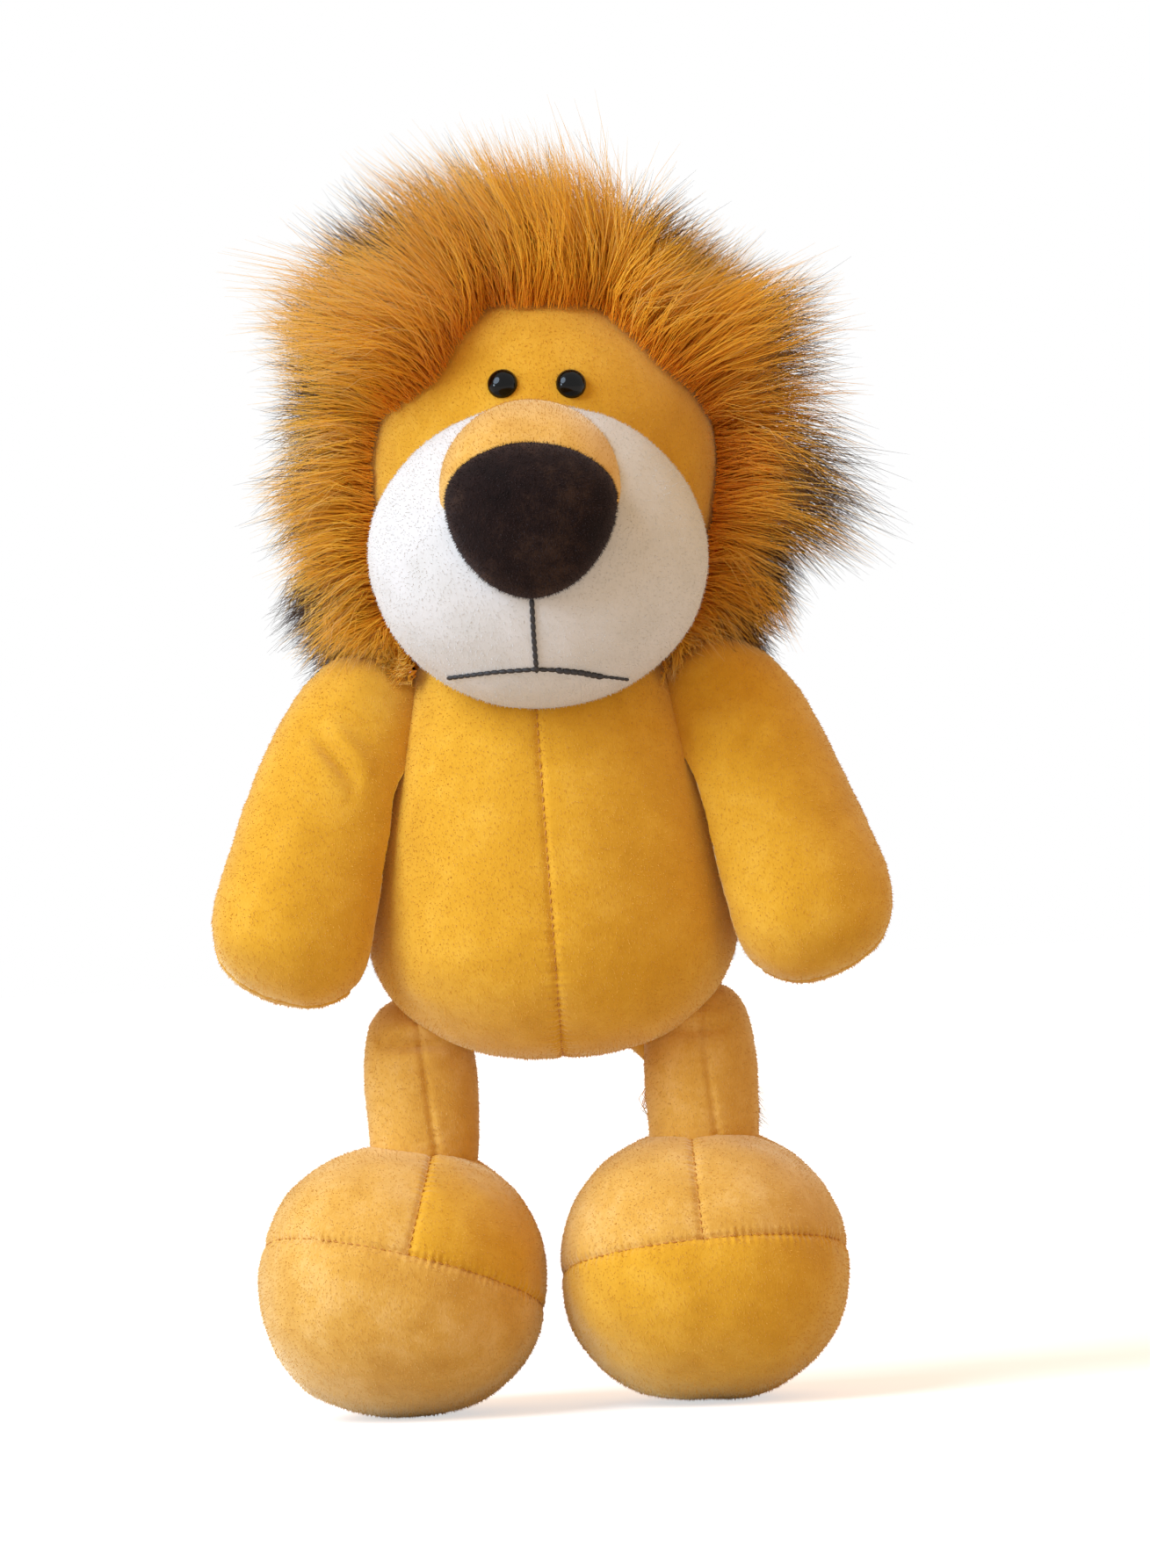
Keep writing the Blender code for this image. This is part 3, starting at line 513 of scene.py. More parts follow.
def close_tree(tree, geometry, material, labels=()):
    """Drop what only the tree needs, and end in Realize Instances and Set Material."""
    for label in labels:
        geometry = add(tree, "GeometryNodeRemoveAttribute", {0: geometry, "Name": label})
    real = add(tree, REALIZE, {0: geometry})
    done = add(tree, "GeometryNodeSetMaterial", {0: real, "Material": material})
    add(tree, "NodeGroupOutput", {0: done})


def apply_tree(base, tree, name, found, **values):
    """Run a tree on a base object and return its result as a plain mesh piece."""
    modifier = base.modifiers.new("tree", "NODES")
    modifier.node_group = tree
    values["Material"] = found
    for item in tree.interface.items_tree:
        if item.in_out == "INPUT" and item.name in values:
            modifier[item.identifier] = values[item.name]
    bpy.context.view_layer.update()
    evaluated = base.evaluated_get(bpy.context.evaluated_depsgraph_get())
    mesh = bpy.data.meshes.new_from_object(evaluated)
    base.modifiers.clear()
    return put(name, mesh, found)


def long_pile_tree():
    """Long soft strands that start along one direction of the cloth and bend to another,
    waved and drawn together in locks. Each cloth vertex holds the strand's two
    directions, its reach, its share of dark tips and how thick the pile is there."""
    tree, given = new_tree("long pile", Density="Float", Seed="Int", Thickness="Float",
                           Lock="Float", Pull="Float", Stray="Float")
    chance = [add(tree, RANDOM, {"Seed": seed}, output=1) for seed in (1, 2, 3, 4)]
    scatter = add(tree, RANDOM, {0: (-1, -1, -1), 1: (1, 1, 1), "Seed": 5}, data_type="FLOAT_VECTOR")
    thick = add(tree, NAMED, {"Name": "thick"})
    density = add(tree, TIMES, {0: given["Density"], 1: thick})
    points = add(tree, "GeometryNodeDistributePointsOnFaces", {
        "Mesh": given["Geometry"], "Seed": given["Seed"], "Density": density})
    place = add(tree, "GeometryNodeInputPosition")
    # Locks are the cells of a Voronoi pattern. Each has its own colour and wave
    grain = add(tree, MATH, {0: 1.0, 1: given["Lock"]}, operation="DIVIDE")
    cells = add(tree, "ShaderNodeTexVoronoi", {"Vector": place, "Scale": grain}, output=None)
    lock = add(tree, "ShaderNodeSeparateXYZ", {0: cells.outputs["Color"]}, output=None)
    pale = add(tree, TIMES, {0: chance[1], 1: 0.4})
    pale = add(tree, TIMES_PLUS, {0: lock.outputs[0], 1: 0.3, 2: pale})
    odds = add(tree, TIMES, {0: chance[0], 1: 0.65})
    odds = add(tree, TIMES_PLUS, {0: lock.outputs[1], 1: 0.35, 2: odds})
    share = add(tree, NAMED, {"Name": "dark"})
    dark = add(tree, MATH, {0: odds, 1: share}, operation="LESS_THAN")
    # A dark strand takes the last of the tints
    dark = add(tree, TIMES, {0: dark, 1: 0.95})
    tint = add(tree, MATH, {0: pale, 1: dark}, operation="MAXIMUM")
    reach = add(tree, NAMED, {"Name": "reach"})
    length = add(tree, TIMES_PLUS, {0: chance[2], 1: 0.14, 2: 0.86})
    length = add(tree, TIMES, {0: length, 1: reach})
    gather = add(tree, LESS, {0: cells.outputs["Position"], 1: place})
    for label, value, kind in (
        ("root", place, "FLOAT_VECTOR"), ("scatter", scatter, "FLOAT_VECTOR"),
        ("gather", gather, "FLOAT_VECTOR"), ("tint", tint, "FLOAT"), ("length", length, "FLOAT"),
        ("join", chance[3], "FLOAT"),
    ):
        points = add(tree, STORE, {0: points, "Name": label, "Value": value}, data_type=kind)
    line = add(tree, "GeometryNodeCurvePrimitiveLine", {"End": (0, 0, MM)})
    line = add(tree, "GeometryNodeResampleCurve", {0: line, "Count": 5})
    strands = add(tree, INSTANCE, {0: points, "Instance": line})
    strands = add(tree, REALIZE, {0: strands})
    factor = add(tree, "GeometryNodeSplineParameter")
    strands = add(tree, STORE, {0: strands, "Name": "along", "Value": factor})
    along, length, join, tint = (
        add(tree, NAMED, {"Name": label}) for label in ("along", "length", "join", "tint"))
    root, start, end, scatter, gather = (
        add(tree, NAMED, {"Name": label}, data_type="FLOAT_VECTOR")
        for label in ("root", "start_way", "end_way", "scatter", "gather"))
    # Broad swirls of about 30 mm and smaller ones of 12 mm turn the pile this way and that
    swirl = chain(tree, SUM, drift(tree, root, 30 * MM, 1.2, 1.0), drift(tree, root, 12 * MM, 1.0, 1.0))
    stray = add(tree, SCALED, {0: scatter, "Scale": given["Stray"]})
    early = add(tree, SCALED, {0: swirl, "Scale": 0.6})
    loose = add(tree, SCALED, {0: stray, "Scale": 0.9})
    start = chain(tree, SUM, start, early, loose)
    end = chain(tree, SUM, end, swirl, stray)
    # The strand bends evenly from its first direction to its last
    half_square = chain(tree, TIMES, along, along, 0.5)
    turn = add(tree, LESS, {0: end, 1: start})
    turn = add(tree, SCALED, {0: turn, "Scale": half_square})
    way = add(tree, SCALED, {0: start, "Scale": along})
    way = add(tree, SUM, {0: way, 1: turn})
    way = add(tree, SCALED, {0: way, "Scale": length})
    # A wave of about 9 mm, the same for neighbours, that grows towards the tip
    rise = add(tree, TIMES, {0: along, 1: 16 * MM})
    shift = add(tree, COMBINE, {2: rise})
    shift = add(tree, SUM, {0: root, 1: shift})
    wave = drift(tree, shift, 9 * MM, add(tree, TIMES, {0: along, 1: 22 * MM}))
    pull = add(tree, TIMES_PLUS, {0: join, 1: 0.6, 2: 0.4})
    pull = chain(tree, TIMES, pull, given["Pull"], along)
    gather = add(tree, SCALED, {0: gather, "Scale": pull})
    spot = chain(tree, SUM, root, way, wave, gather)
    strands = add(tree, "GeometryNodeSetPosition", {0: strands, "Position": spot})
    # Full width over most of the strand, then a fine tip
    narrow = add(tree, MATH, {0: along, 1: 2.5}, operation="POWER")
    narrow = add(tree, TIMES_PLUS, {0: narrow, 1: -0.88, 2: 1.0})
    width = add(tree, TIMES, {0: narrow, 1: given["Thickness"]})
    ring = add(tree, "GeometryNodeCurvePrimitiveCircle", {"Resolution": 3})
    solid = add(tree, "GeometryNodeCurveToMesh", {0: strands, 1: ring, "Scale": width, "Fill Caps": True})
    pair = add(tree, COMBINE, {0: tint, 1: along})
    solid = add(tree, STORE, {0: solid, "Name": "OFBake", "Value": pair},
                data_type="FLOAT2", domain="CORNER")
    solid = add(tree, "GeometryNodeSetShadeSmooth", {0: solid})
    close_tree(tree, solid, given["Material"], (
        "root", "scatter", "gather", "tint", "length", "join", "along", *STRAND_VALUES))
    return tree


def short_pile_tree():
    """The nap of velour: tiny leaning cones spread evenly over a cover."""
    tree, given = new_tree("short pile", Density="Float", Seed="Int", Thickness="Float",
                           Height="Float", Lean="Vector")
    spread = add(tree, "GeometryNodeDistributePointsOnFaces", {
        "Mesh": given["Geometry"], "Density": given["Density"], "Seed": given["Seed"]}, output=None)
    place = add(tree, "GeometryNodeInputPosition")
    scatter = add(tree, RANDOM, {0: (-0.45, -0.45, -0.45), 1: (0.45, 0.45, 0.45), "Seed": 5},
                  data_type="FLOAT_VECTOR")
    # The pile lies this way and that in patches of about 14 mm
    clouds = drift(tree, place, 14 * MM, 1.6)
    way = chain(tree, SUM, spread.outputs["Normal"], given["Lean"], scatter, clouds)
    tint = add(tree, RANDOM, {"Seed": 6}, output=1)
    points = add(tree, STORE, {0: spread.outputs[0], "Name": "tint", "Value": tint})
    cone = add(tree, "GeometryNodeMeshCone", {"Vertices": 3, "Depth": 1.0})
    height = add(tree, "ShaderNodeSeparateXYZ", {0: place}, output=2)
    cone = add(tree, STORE, {0: cone, "Name": "along", "Value": height})
    turned = add(tree, "FunctionNodeAlignRotationToVector", {"Vector": way}, axis="Z")
    tall = add(tree, RANDOM, {2: 0.6, 3: 1.15, "Seed": 7}, output=1)
    tall = add(tree, TIMES, {0: tall, 1: given["Height"]})
    size = add(tree, COMBINE, {0: given["Thickness"], 1: given["Thickness"], 2: tall})
    strands = add(tree, INSTANCE, {
        0: points, "Instance": cone, "Rotation": turned, "Scale": size})
    strands = add(tree, REALIZE, {0: strands})
    tint, along = (add(tree, NAMED, {"Name": label}) for label in ("tint", "along"))
    pair = add(tree, COMBINE, {0: tint, 1: along})
    strands = add(tree, STORE, {0: strands, "Name": "OFBake", "Value": pair},
                  data_type="FLOAT2", domain="CORNER")
    close_tree(tree, strands, given["Material"], ("tint", "along"))
    return tree


def stitch_tree():
    """Thread stitches laid end to end along a line, each a small capsule."""
    tree, given = new_tree("stitches", Pitch="Float", Length="Float", Thickness="Float", Turn="Float")
    line = add(tree, "GeometryNodeMeshToCurve", {0: given["Geometry"]})
    points = add(tree, "GeometryNodeCurveToPoints", {0: line, "Length": given["Pitch"]},
                 output=None, mode="LENGTH")
    ball = add(tree, "GeometryNodeMeshUVSphere", {"Segments": 6, "Rings": 5})
    size = add(tree, COMBINE, {
        0: given["Thickness"], 1: given["Thickness"], 2: given["Length"]})
    tilt = add(tree, "FunctionNodeAxisAngleToRotation", {0: (0, 1, 0), "Angle": given["Turn"]})
    turned = add(tree, "FunctionNodeAlignRotationToVector", {"Vector": points.outputs["Tangent"]}, axis="Z")
    both = add(tree, "FunctionNodeRotateRotation", {0: turned, 1: tilt}, rotation_space="LOCAL")
    made = add(tree, INSTANCE, {
        0: points.outputs[0], "Instance": ball, "Rotation": both, "Scale": size})
    close_tree(tree, made, given["Material"])
    return tree


LONG_PILE, SHORT_PILE, STITCHES = long_pile_tree(), short_pile_tree(), stitch_tree()


def nap(cover, name, found, seed, density=NAP_DENSITY, lean=(0, 0, -0.7), height=NAP_HEIGHT, shows=None):
    """The pile on a cover, only where the cover shows."""
    shape = bmesh.new()
    shape.from_mesh(cover.data)
    if shows is not None:
        hidden = [face for face in shape.faces if not shows(face.calc_center_median())]
        bmesh.ops.delete(shape, geom=hidden, context="FACES")
    ground = from_bmesh("ground", shape)
    piece = apply_tree(ground, SHORT_PILE, name, found, Density=density, Seed=seed,
                       Thickness=NAP_THICKNESS, Height=height, Lean=lean)
    bpy.data.objects.remove(ground)
    return piece


def stitches(points, found, pitch=STITCH_PITCH, length=0.95, thick=0.28, turn=0.12):
    """A row of stitches: pitch, half length and half thickness, and how far each is askew."""
    line = line_mesh(points)
    piece = apply_tree(line, STITCHES, "stitches", found, Pitch=pitch, Length=length * MM,
                       Thickness=thick * MM, Turn=turn)
    bpy.data.objects.remove(line)
    return piece


def trim(piece, body, slot, *nodes):
    """A piece rides on a body, and stands for the CAD solids that are named, if any."""
    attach(piece, body)
    if nodes:
        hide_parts(*nodes)


def dress(cover, body, slot, fill, *nodes):
    """A cover, in place of the CAD solids that are named."""
    trim(cover, body, slot, *nodes)


def clothe(shape, names, cloth, seed, body, fill, nodes, **looks):
    """A form as a cover and the nap on it. Returns the cover."""
    face, fuzz, slot = cloth
    cover = from_bmesh(names[0], shape, face)
    fluff = nap(cover, names[1], fuzz, seed, **looks)
    dress(cover, body, slot, fill, *nodes)
    trim(fluff, body, slot)
    return cover


def join_meshes(name, pieces, found):
    """Several meshes as one piece."""
    shape = bmesh.new()
    for piece in pieces:
        shape.from_mesh(piece.data)
        bpy.data.objects.remove(piece)
    return from_bmesh(name, shape, found)


def make_trunk():
    shape = egg(BODY_SIZE, Matrix.Translation(BELLY), down=FULL, cuts=46)
    # The front seam wanders a little to the lion's left on its way down
    slant = Vector((0.023, 0, -1)).normalized()
    front_seam = flat_seam(BELLY, (1, 0, 0.023))
    side_seam = flat_seam(BELLY, (0, 1, 0))
    refine(shape, lambda p: min(abs(p.x), abs(p.y - BELLY.y) + 2 * MM))
    sculpt(shape, (front_seam, side_seam))
    for vert in shape.verts:
        vert.co.z = min(vert.co.z, NECK.z + 2 * MM)
    panels = [f"body_{end}_{name}" for end in ("front", "back") for name in SIDES.values()]
    cover = clothe(shape, ("body_cover", "body_nap"), GOLDEN_CLOTH, 11, "trunk", 0.9,
                   (*panels, "body_stuffing", "body_pellet_bag"), shows=lambda p: p.z < NECK.z)
    back = Vector((0, 1, 0))
    sewn = [stitches(trace(cover, BELLY, slant, way, 5, 150), GOLDEN_THREAD) for way in (-back, back)]
    seam = join_meshes("body_seam_stitches", sewn, GOLDEN_THREAD)
    trim(seam, "trunk", "golden_velour")


def head_shift(place):
    return HEAD @ Matrix.Translation(Vector(place) * MM)


def in_head(spot):
    """A point in the head's own frame, in millimetres."""
    return (HEAD.inverted() @ spot) / MM


def face_edge(aside, height):
    """Half width of the face opening at a height over the neck, on a point's side."""
    heights, widths = zip(*FACE_OUTLINE[LEFT if aside > 0 else RIGHT])
    return np.interp(height, heights, widths, right=0.0)


def make_face():
    shape = egg(SKULL_SIZE, head_shift(SKULL_PLACE), down=FULLER)
    sculpt(shape, lumps=0.5)

    def shows(point):
        spot = in_head(point)
        return spot.y < 8 and abs(spot.x) < face_edge(spot.x, spot.z) + 2 and spot.z > 25
    return clothe(shape, ("face_cover", "face_nap"), GOLDEN_CLOTH, 21, "head", 0.9,
                  ("head_cover", "head_stuffing"), lean=(0, 0, 0.5), shows=shows)


def make_muzzle():
    shape = egg(MUZZLE_SIZE, head_shift(MUZZLE_PLACE))
    sculpt(shape, lumps=0.6)
    return clothe(shape, ("muzzle_velour", "muzzle_nap"), WHITE_CLOTH, 22, "head", 0.9,
                  ("muzzle_cover", "muzzle_stuffing"), lean=(0, 0, -0.4), height=0.7 * MM,
                  shows=lambda p: in_head(p).y < -4)


def make_bridge():
    shape = egg(BRIDGE_SIZE, head_shift(BRIDGE_PLACE), plan=FULLEST, cuts=28)
    sculpt(shape, lumps=0.5)
    # The bridge has the paler copy of the golden velour: painted light
    clothe(shape, ("snout_bridge_cover", "snout_bridge_nap"), PAINTED_LIT_CLOTH, 23, "head", 0.8,
           ("snout_bridge",), lean=(0, 0, 0.6), shows=lambda p: in_head(p).y < -30)


def make_nose():
    shape = egg(NOSE_SIZE, head_shift(NOSE_PLACE), down=SLENDER, plan=FULL, cuts=34)
    sculpt(shape, lumps=0.4)
    clothe(shape, ("nose_cover", "nose_nap"), FLEECE_CLOTH, 24, "head", 0.9, ("nose",),
           density=1.6 / MM ** 2, lean=(0, 0, -0.3), height=0.9 * MM, shows=lambda p: in_head(p).y < -64)


# The mouth's backstitches over the muzzle: aside and height over the neck of the ends,
# then pitch, half length and half thickness of a stitch
MOUTH_LINES = (
    (((-1.9, 19), (-1.2, 6), (-0.5, -3.3)), 2.2, 1.5, 0.75),
    (((-24.5, -5.6), (-12, -4.2), (-0.5, -3.4), (6, -3.6)), 2.2, 1.5, 0.7),
    (((6, -3.7), (12, -4.3), (17, -5.2)), 2.0, 1.5, 1.0),
    (((17, -5.2), (24.5, -6.0)), 2.0, 1.4, 0.5),
)


def make_mouth(muzzle):
    """Black backstitch: a line down from the nose and a flat line across."""
    surface = tree_of(muzzle)
    sewn = []
    for points, pitch, length, thick in MOUTH_LINES:
        found = []
        for (x0, z0), (x1, z1) in zip(points, points[1:]):
            for share in np.linspace(0, 1, 61):
                start = HEAD @ (Vector((x0 + (x1 - x0) * share, AHEAD, z0 + (z1 - z0) * share)) * MM)
                hit = surface.ray_cast(start, INWARD)
                if hit[0] is not None and (not found or (hit[0] - found[-1]).length > MM / 10):
                    found.append(hit[0] + hit[1] * 0.3 * MM)
        sewn.append(stitches(found, BLACK_THREAD, pitch * MM, length, thick, 0.05))
    trim(join_meshes("mouth_stitches", sewn, BLACK_THREAD), "head", "brown_fleece")


def make_eyes(face):
    surface = tree_of(face)
    for side, name in SIDES.items():
        start = HEAD @ (Vector((side * EYE_SPREAD + EYE_SHIFT, AHEAD, EYE_RISE)) * MM)
        spot, outward, *_ = surface.ray_cast(start, INWARD)
        turn = Vector((0, 0, 1)).rotation_difference(outward).to_matrix().to_4x4()
        shape = egg(EYE_SIZE, Matrix.Translation(spot + outward * 0.3 * MM) @ turn, down=FULLEST, cuts=10)
        dome = from_bmesh(f"eye_dome_{name}", shape, EYE_BLACK)
        trim(dome, "head", "eye_plastic", f"eye_{name}")


def mane_reach(angle):
    """How far the tips reach from the mane's middle at an angle, in millimetres."""
    return np.interp(angle, *zip(*MANE_REACH), left=MANE_REACH_BELOW, right=MANE_REACH_BELOW)


def dark_share(angle):
    """Share of dark-tipped pile at an angle round the mane."""
    patches = (most * bell(angle - middle, width) for middle, width, most in DARK_PATCHES)
    return max(DARK_ELSEWHERE, *patches)


def strand_at(spot, normal):
    """First and last direction, reach, dark share and thickness of the pile at a spot of
    the mane's cloth. All are in the head's own frame and in millimetres."""
    x, z = spot.x - MANE_MIDDLE[0], spot.z - MANE_MIDDLE[1]
    far = max(hypot(x, z), 1)
    radial = Vector((x / far, 0, z / far))
    # 1 at the face and 0 behind the head, then 1 on the crown
    front = 1 - smooth_step(spot.y, -8, 34)
    crown = smooth_step(spot.z, 55, 95)
    side, top = abs(radial.x), max(radial.z, 0)
    sweep = -0.75 if spot.x < PARTING else 0.55
    # Round the face the pile stands out from it, swept aside on top and drooping below
    face_start = radial * 0.6 + normal * 0.8 + Vector((-sweep * top * 0.3, -0.3, 0.25 * side))
    face_end = radial + Vector((sweep * top, 0.45, -0.7 * side - 0.2 * (1 - smooth_step(spot.z, 4, 34))))
    # Behind it lies down the back of the head, and stands up round the crown
    back_end = normal * (0.4 + 0.5 * crown) + Vector((0, 0, -0.9 + 0.9 * crown))
    start = (face_start * front + normal * (1 - front)).normalized()
    end = (face_end * front + back_end * (1 - front)).normalized()
    middle_way = (start + end) / 2
    angle = degrees(atan2(z + middle_way.z * 35, x + middle_way.x * 35))
    angle += 360 if angle < -90 else 0
    gain = max(0.35, middle_way.x * radial.x + middle_way.z * radial.z)
    face_length = min(max((mane_reach(angle) - far) / gain, SHORTEST_PILE), LONGEST_PILE)
    length = front * face_length + (1 - front) * (BACK_PILE + CROWN_PILE * crown)
    if middle_way.z < 0:
        lowest = MANE_FLOOR * smooth_step(spot.y, -8, 14)
        length = min(length, max((spot.z - lowest) / -middle_way.z, 5))
    else:
        length = min(length, (MANE_TOP - spot.z) / max(middle_way.z, 0.1))
    # Dark tips and thin pile start a little behind the face, and fade out at the back
    dark = 0.14 + 0.95 * smooth_step(spot.y, -10, 6) - 0.65 * smooth_step(spot.y, 24, 48)
    dark = 0.04 + dark * dark_share(angle)
    thick = 1.7 - 0.6 * smooth_step(spot.y, -4, 6) - 0.55 * smooth_step(spot.y, 20, 45)
    return start, end, length * MM, dark, thick


def store_pile(mesh, rows):
    """Keep each vertex's row of strand values on the mesh, for the long pile's tree."""
    for label, column in zip(STRAND_VALUES, zip(*rows)):
        values = np.array(column, dtype=np.float32)
        kind, key = ("FLOAT_VECTOR", "vector") if values.ndim == 2 else ("FLOAT", "value")
        mesh.attributes.new(label, kind, "POINT").data.foreach_set(key, values.ravel())


def mane_form(out, down, cuts):
    """The skull's form, a little larger and drawn down to the collar."""
    size = [value + out for value in (*SKULL_SIZE[:3], down)]
    return egg(size, head_shift(SKULL_PLACE), down=FULLER, cuts=cuts)


def make_mane():
    turn = HEAD.to_3x3()
    shape = mane_form(SCALP_OUT, SCALP_DOWN, 76)
    gone = []
    for face in shape.faces:
        spot = in_head(face.calc_center_median())
        inside = abs(spot.x) < face_edge(spot.x, spot.z) - 0.5 and spot.y < FACE_DEPTH
        if inside and spot.z < HAIRLINE or spot.z < COLLAR:
            gone.append(face)
    bmesh.ops.delete(shape, geom=gone, context="FACES")
    scalp = from_bmesh("mane_scalp", shape, BACKING)
    rows = []
    for vert in scalp.data.vertices:
        start, end, *rest = strand_at(in_head(vert.co), turn.inverted() @ vert.normal)
        rows.append((turn @ start, turn @ end, *rest))
    store_pile(scalp.data, rows)
    strands = [
        apply_tree(scalp, LONG_PILE, f"mane_pile_{run + 1}", MANE_PILE, Density=MANE_DENSITY,
                   Seed=31 + run, Thickness=MANE_THICKNESS, Lock=6 * MM, Pull=0.28, Stray=0.26)
        for run in range(MANE_RUNS)
    ]
    bpy.data.objects.remove(scalp)

    shape = mane_form(BACKING_OUT, BACKING_DOWN, 40)
    for vert in shape.verts:
        spot = in_head(vert.co)
        low = max(spot.z, COLLAR + 1)
        # Its front edge stays behind the first roots of the pile, over the forehead too
        level = HAIRLINE - 0.1 if HAIRLINE - 0.1 < low < HAIRLINE + 3.5 else low
        if spot.y < FACE_DEPTH and abs(spot.x) < face_edge(spot.x, level) + 4:
            spot.y = FACE_DEPTH
        vert.co = HEAD @ (Vector((spot.x, spot.y, low)) * MM)
    trim(from_bmesh("mane_backing", shape, BACKING), "head", "mane_pile", "mane_front", "mane_back")
    for piece in strands:
        trim(piece, "head", "mane_pile")


def make_arm(side):
    name = SIDES[side]
    shoulder = Vector((side * SHOULDER_SPREAD, FORWARD_SHIFT - SHOULDER_FORWARD, SHOULDER_HEIGHT)) * MM
    place = (Matrix.Translation(shoulder) @ Matrix.Rotation(radians(-side * ARM_SPLAY), 4, "Y")
             @ Matrix.Rotation(radians(-ARM_FORWARD), 4, "X"))
    middle = place @ Matrix.Translation((0, 0, -ARM_REACH * MM))
    shape = egg(ARM_SIZE, middle, up=FULLEST, down=FULL, cuts=42)
    # The side that faces the trunk is kept off it, most where the two are sewn together
    yaw, rise = radians(ARM_YAW), radians(ARM_RISE)
    axis = Vector((side * cos(yaw) * cos(rise), -sin(yaw) * cos(rise), sin(rise)))
    swell = Vector([size * part for size, part in zip(BODY_SIZE, axis)]).length
    reach = BELLY.dot(axis) + (swell + 0.3) * MM
    for vert in shape.verts:
        over = reach - vert.co.dot(axis)
        room = ARM_ROOM * MM * smooth_step((shoulder.z - vert.co.z) / MM, 24, -14)
        if over > room:
            vert.co += axis * (over - room)
    seam_way = place.to_3x3() @ Vector((0, 1, 0))
    seam = flat_seam(shoulder, seam_way)
    refine(shape, lambda p: abs((p - shoulder).dot(seam_way)), 1)
    # The weight of the arm folds the cloth on its inner side, under the shoulder
    (x0, z0), (x1, z1), depth = ARM_FOLD
    inner = fold(shoulder + Vector((side * x0, 0, z0)) * MM, shoulder + Vector((side * x1, 0, z1)) * MM,
                 depth[side] * MM)
    sculpt(shape, (seam,), (inner,), 0.8)
    clothe(shape, (f"arm_cover_{name}", f"arm_nap_{name}"), GOLDEN_CLOTH, 41 + side, f"arm_{name}",
           0.8, [f"arm_{part}_{name}" for part in ("front", "back", "stuffing")])


def make_leg(side):
    name = SIDES[side]
    middle = Vector((side * LEG_SPREAD, FORWARD_SHIFT + LEG_BACK, LEG_MIDDLE)) * MM
    shape = egg(LEG_SIZE, Matrix.Translation(middle), up=FULLEST, down=FULLEST, cuts=36)
    beside = Vector((2.5 * MM, 0, 0))
    front = flat_seam(middle + beside, (1, 0, 0.1), lambda p: p.y < middle.y)
    refine(shape, lambda p: abs(p.x - middle.x - beside.x), 1)
    # The trunk presses a fold into the top of the leg
    (x0, z0), (x1, z1), depth = LEG_FOLD
    across = fold(middle + Vector((x0, 0, z0)) * MM, middle + Vector((x1, 0, z1)) * MM, depth[side] * MM)
    sculpt(shape, (front,), (across,), 0.9)
    # The legs have the paler copy of the golden velour: painted light
    clothe(shape, (f"leg_sleeve_{name}", f"leg_nap_{name}"), PAINTED_LIT_CLOTH, 51 + side, f"leg_{name}",
           0.7, (f"leg_cover_{name}", f"leg_stuffing_{name}"))


def make_foot(side):
    name = SIDES[side]
    middle = Vector((side * FOOT_SPREAD[side], FORWARD_SHIFT + FOOT_BACK, FOOT_MIDDLE)) * MM
    turn = Matrix.Rotation(radians(FOOT_ROLL[side]), 3, "Y") @ Matrix.Rotation(radians(-TOE_LIFT), 3, "X")
    up, across = turn @ Vector((0, 0, 1)), turn @ Vector((side, 0, 0))
    shape = egg(FOOT_SIZE, Matrix.Translation(middle), down=FULL, plan=FULL, cuts=46)
    level_seam = flat_seam(middle, up)
    top_seam = flat_seam(middle, across, lambda p: (p - middle).dot(up) > 0)
    refine(shape, lambda p: min(
        abs((p - middle).dot(up)),
        abs((p - middle).dot(across)) if (p - middle).dot(up) > 0 else 1,
    ))
    sculpt(shape, (level_seam, top_seam), lumps=0.9)

    def deep(point):
        """Whether a panel keeps the plain golden velour, darker than the painted light on
        the rest of the foot: the sole of the left foot and the inner upper panel of the right foot."""
        above = (point - middle).dot(up) > 0
        return not above if side == LEFT else above and (point - middle).dot(across) < 0
    # Those panels keep the plain golden velour, the rest of the foot has the paler copy with painted light
    for face in shape.faces:
        face.material_index = 1 if deep(face.calc_center_median()) else 0
    cover = from_bmesh(f"foot_cover_{name}", shape, PAINTED_LIT_GOLDEN, GOLDEN)
    forward = up.cross(across).normalized()
    sewn = [
        stitches(trace(cover, middle, forward, across, 0, 360, 160), GOLDEN_THREAD),
        stitches(trace(cover, middle, forward, up, 0, 180, 90), GOLDEN_THREAD),
    ]
    seam = join_meshes(f"foot_seam_stitches_{name}", sewn, GOLDEN_THREAD)
    # Their nap likewise: the paler pile with painted light, and the plain golden pile on the darker panels
    painted_lit_fluff = nap(cover, f"foot_painted_lit_nap_{name}", PAINTED_LIT_PILE, 61 + side, shows=lambda p: not deep(p))
    deep_fluff = nap(cover, f"foot_deep_nap_{name}", GOLDEN_PILE, 61 + side, shows=deep)
    parts = ("outer", "inner", "sole", "stuffing", "pellet_bag")
    dress(cover, f"foot_{name}", "golden_velour", 0.9, *(f"foot_{part}_{name}" for part in parts))
    for piece in (seam, painted_lit_fluff, deep_fluff):
        trim(piece, f"foot_{name}", "golden_velour")


def tail_way():
    """A smooth line of points: out of the back, then down behind the left leg."""
    corners = [TAIL_ROOT + Vector(share) * TAIL_LENGTH for share in TAIL_WAY]
    line = [2 * corners[0] - corners[1]] + corners + [2 * corners[-1] - corners[-2]]
    points = []
    for a, b, c, d in zip(line, line[1:], line[2:], line[3:]):
        for t in np.arange(0, 1, 0.1):
            pull = (c - a) * t + (2 * a - 5 * b + 4 * c - d) * t ** 2 + (3 * b - a - 3 * c + d) * t ** 3
            points.append(b + pull / 2)
    return points + [corners[-1]]


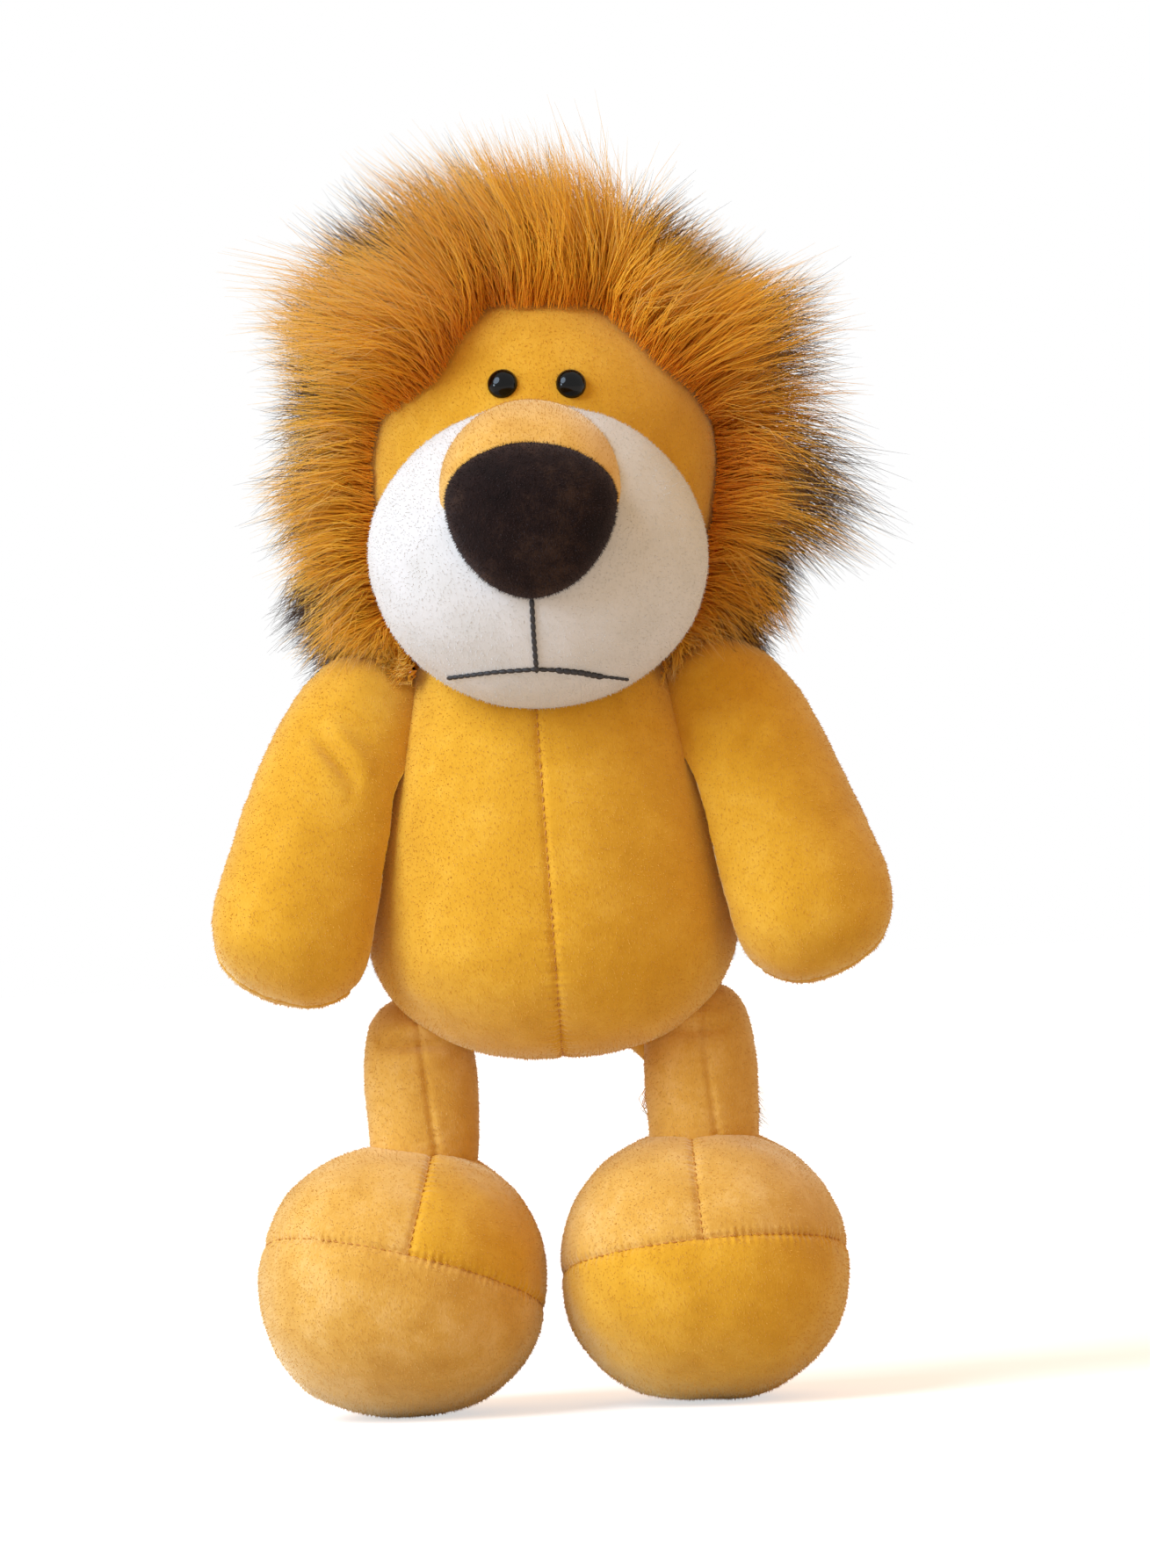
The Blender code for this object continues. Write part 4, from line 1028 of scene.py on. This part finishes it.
def make_tail():
    way = tail_way()
    half = 0.5
    shape = egg((TAIL_RADIUS, TAIL_RADIUS, half, half), Matrix.Identity(4), up=8.0, down=8.0, cuts=30)
    for vert in shape.verts:
        share = (half * MM - vert.co.z) / (2 * half * MM) * (len(way) - 1)
        index = min(int(share), len(way) - 2)
        spot = way[index].lerp(way[index + 1], share - index)
        along = (way[index + 1] - way[index]).normalized()
        turn = Vector((0, 0, -1)).rotation_difference(along)
        vert.co = spot + turn @ Vector((vert.co.x, vert.co.y, 0))
    sculpt(shape, lumps=0.3, sink=0.5)
    clothe(shape, ("tail_cover", "tail_nap"), GOLDEN_CLOTH, 71, "tail", 0.7, ("tail_tube",))


def make_tuft():
    """A core at the tail's end, and the long pile that hangs from it."""
    way = tail_way()
    along = (way[-1] - way[-2]).normalized()
    turn = Vector((0, 0, -1)).rotation_difference(along).to_matrix().to_4x4()
    shape = egg(TUFT_SIZE, Matrix.Translation(way[-1]) @ turn, cuts=10)
    core = from_bmesh("tail_tuft_core", shape, BACKING)
    rooted = place_new("tuft_roots", core.data.copy())
    rows = []
    for vert in rooted.data.vertices:
        start, end = vert.normal * 0.6 + along * 0.8, vert.normal * 0.12 + along
        rows.append((start.normalized(), end.normalized(), TUFT_PILE, 0.6, 1.0))
    store_pile(rooted.data, rows)
    strands = apply_tree(rooted, LONG_PILE, "tail_tuft_pile", MANE_PILE, Density=2.2 / MM ** 2,
                         Seed=81, Thickness=MANE_THICKNESS, Lock=4 * MM, Pull=0.5, Stray=0.12)
    bpy.data.objects.remove(rooted)
    trim(core, "tail", "mane_pile", "tail_tuft")
    trim(strands, "tail", "mane_pile")


def light(name, strength, colour, softness, way):
    """A lamp that shines along a direction, the same all over the floor."""
    lamp = bpy.data.lights.new(name, "SUN")
    lamp.energy = strength
    lamp.color = linear(colour)[:3]
    lamp.angle = radians(softness)
    place_new(name, lamp).rotation_euler = Vector(way).to_track_quat("-Z", "Y").to_euler()


def plain_sight(tree):
    """1 for rays that show a thing as it is: from the camera, a mirror or clear glass."""
    path = add(tree, "ShaderNodeLightPath", output=None)
    seen = path.outputs["Is Camera Ray"]
    for label in ("Is Glossy Ray", "Is Transmission Ray"):
        seen = add(tree, MATH, {0: seen, 1: path.outputs[label]}, operation="ADD", use_clamp=True)
    return seen


def make_floor():
    mesh = bpy.data.meshes.new("floor")
    half = 6.0
    corners = [(x * half, y * half, 0) for x, y in ((-1, -1), (1, -1), (1, 1), (-1, 1))]
    mesh.from_pydata(corners, [], [(0, 1, 2, 3)])
    found, tree = blank_material("white paper")
    paper = add(tree, "ShaderNodeBsdfDiffuse", {0: linear("#D4D2CF")})
    lift = add(tree, TIMES, {0: plain_sight(tree), 1: 0.62})
    glow = add(tree, "ShaderNodeEmission", {1: lift})
    both = add(tree, "ShaderNodeAddShader", {0: paper, 1: glow})
    add(tree, SURFACE, {0: both})
    put("floor", mesh, found)


def make_room():
    """A warm room with a white background, and a cool window on the left."""
    scene = bpy.context.scene
    scene.view_settings.view_transform = "Standard"
    scene.world = bpy.data.worlds.new("studio")
    scene.world.use_nodes = True
    tree = scene.world.node_tree
    tree.nodes.clear()
    soft = add(tree, "ShaderNodeBackground", {0: linear("#FFD298"), 1: 0.78})
    white = add(tree, "ShaderNodeBackground", {0: (1, 1, 1, 1)})
    both = add(tree, "ShaderNodeMixShader", {0: plain_sight(tree), 1: soft, 2: white})
    add(tree, "ShaderNodeOutputWorld", {0: both})
    light("window", 3.6, "#CCE4FF", 38, (0.9, 0.62, -0.78))
    light("window glint", 0.6, "#D4E8FF", 11, (0.9, 0.42, -0.14))


# The photograph is taken level, from afar, and leans by the angle of the roll
CAMERA_DISTANCE, CAMERA_ASIDE, CAMERA_HEIGHT, CAMERA_ROLL = 2.5, 0.0084, 0.178, -3
PICTURE_HEIGHT = 0.446
SENSOR = 36


def make_camera():
    lens = bpy.data.cameras.new("camera")
    lens.sensor_width = SENSOR
    lens.lens = SENSOR * CAMERA_DISTANCE / PICTURE_HEIGHT
    camera = place_new("camera", lens)
    camera.location = (CAMERA_ASIDE, -CAMERA_DISTANCE, CAMERA_HEIGHT)
    level, roll = Matrix.Rotation(radians(90), 3, "X"), Matrix.Rotation(radians(CAMERA_ROLL), 3, "Z")
    camera.rotation_euler = (level @ roll).to_euler()
    bpy.context.scene.camera = camera


make_floor()
make_room()
make_camera()
make_trunk()
make_eyes(make_face())
make_mouth(make_muzzle())
make_bridge()
make_nose()
make_mane()
for side in SIDES:
    make_arm(side)
    make_leg(side)
    make_foot(side)
    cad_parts[f"eye_washer_{SIDES[side]}"].material_slots[0].material = WASHER
make_tail()
make_tuft()
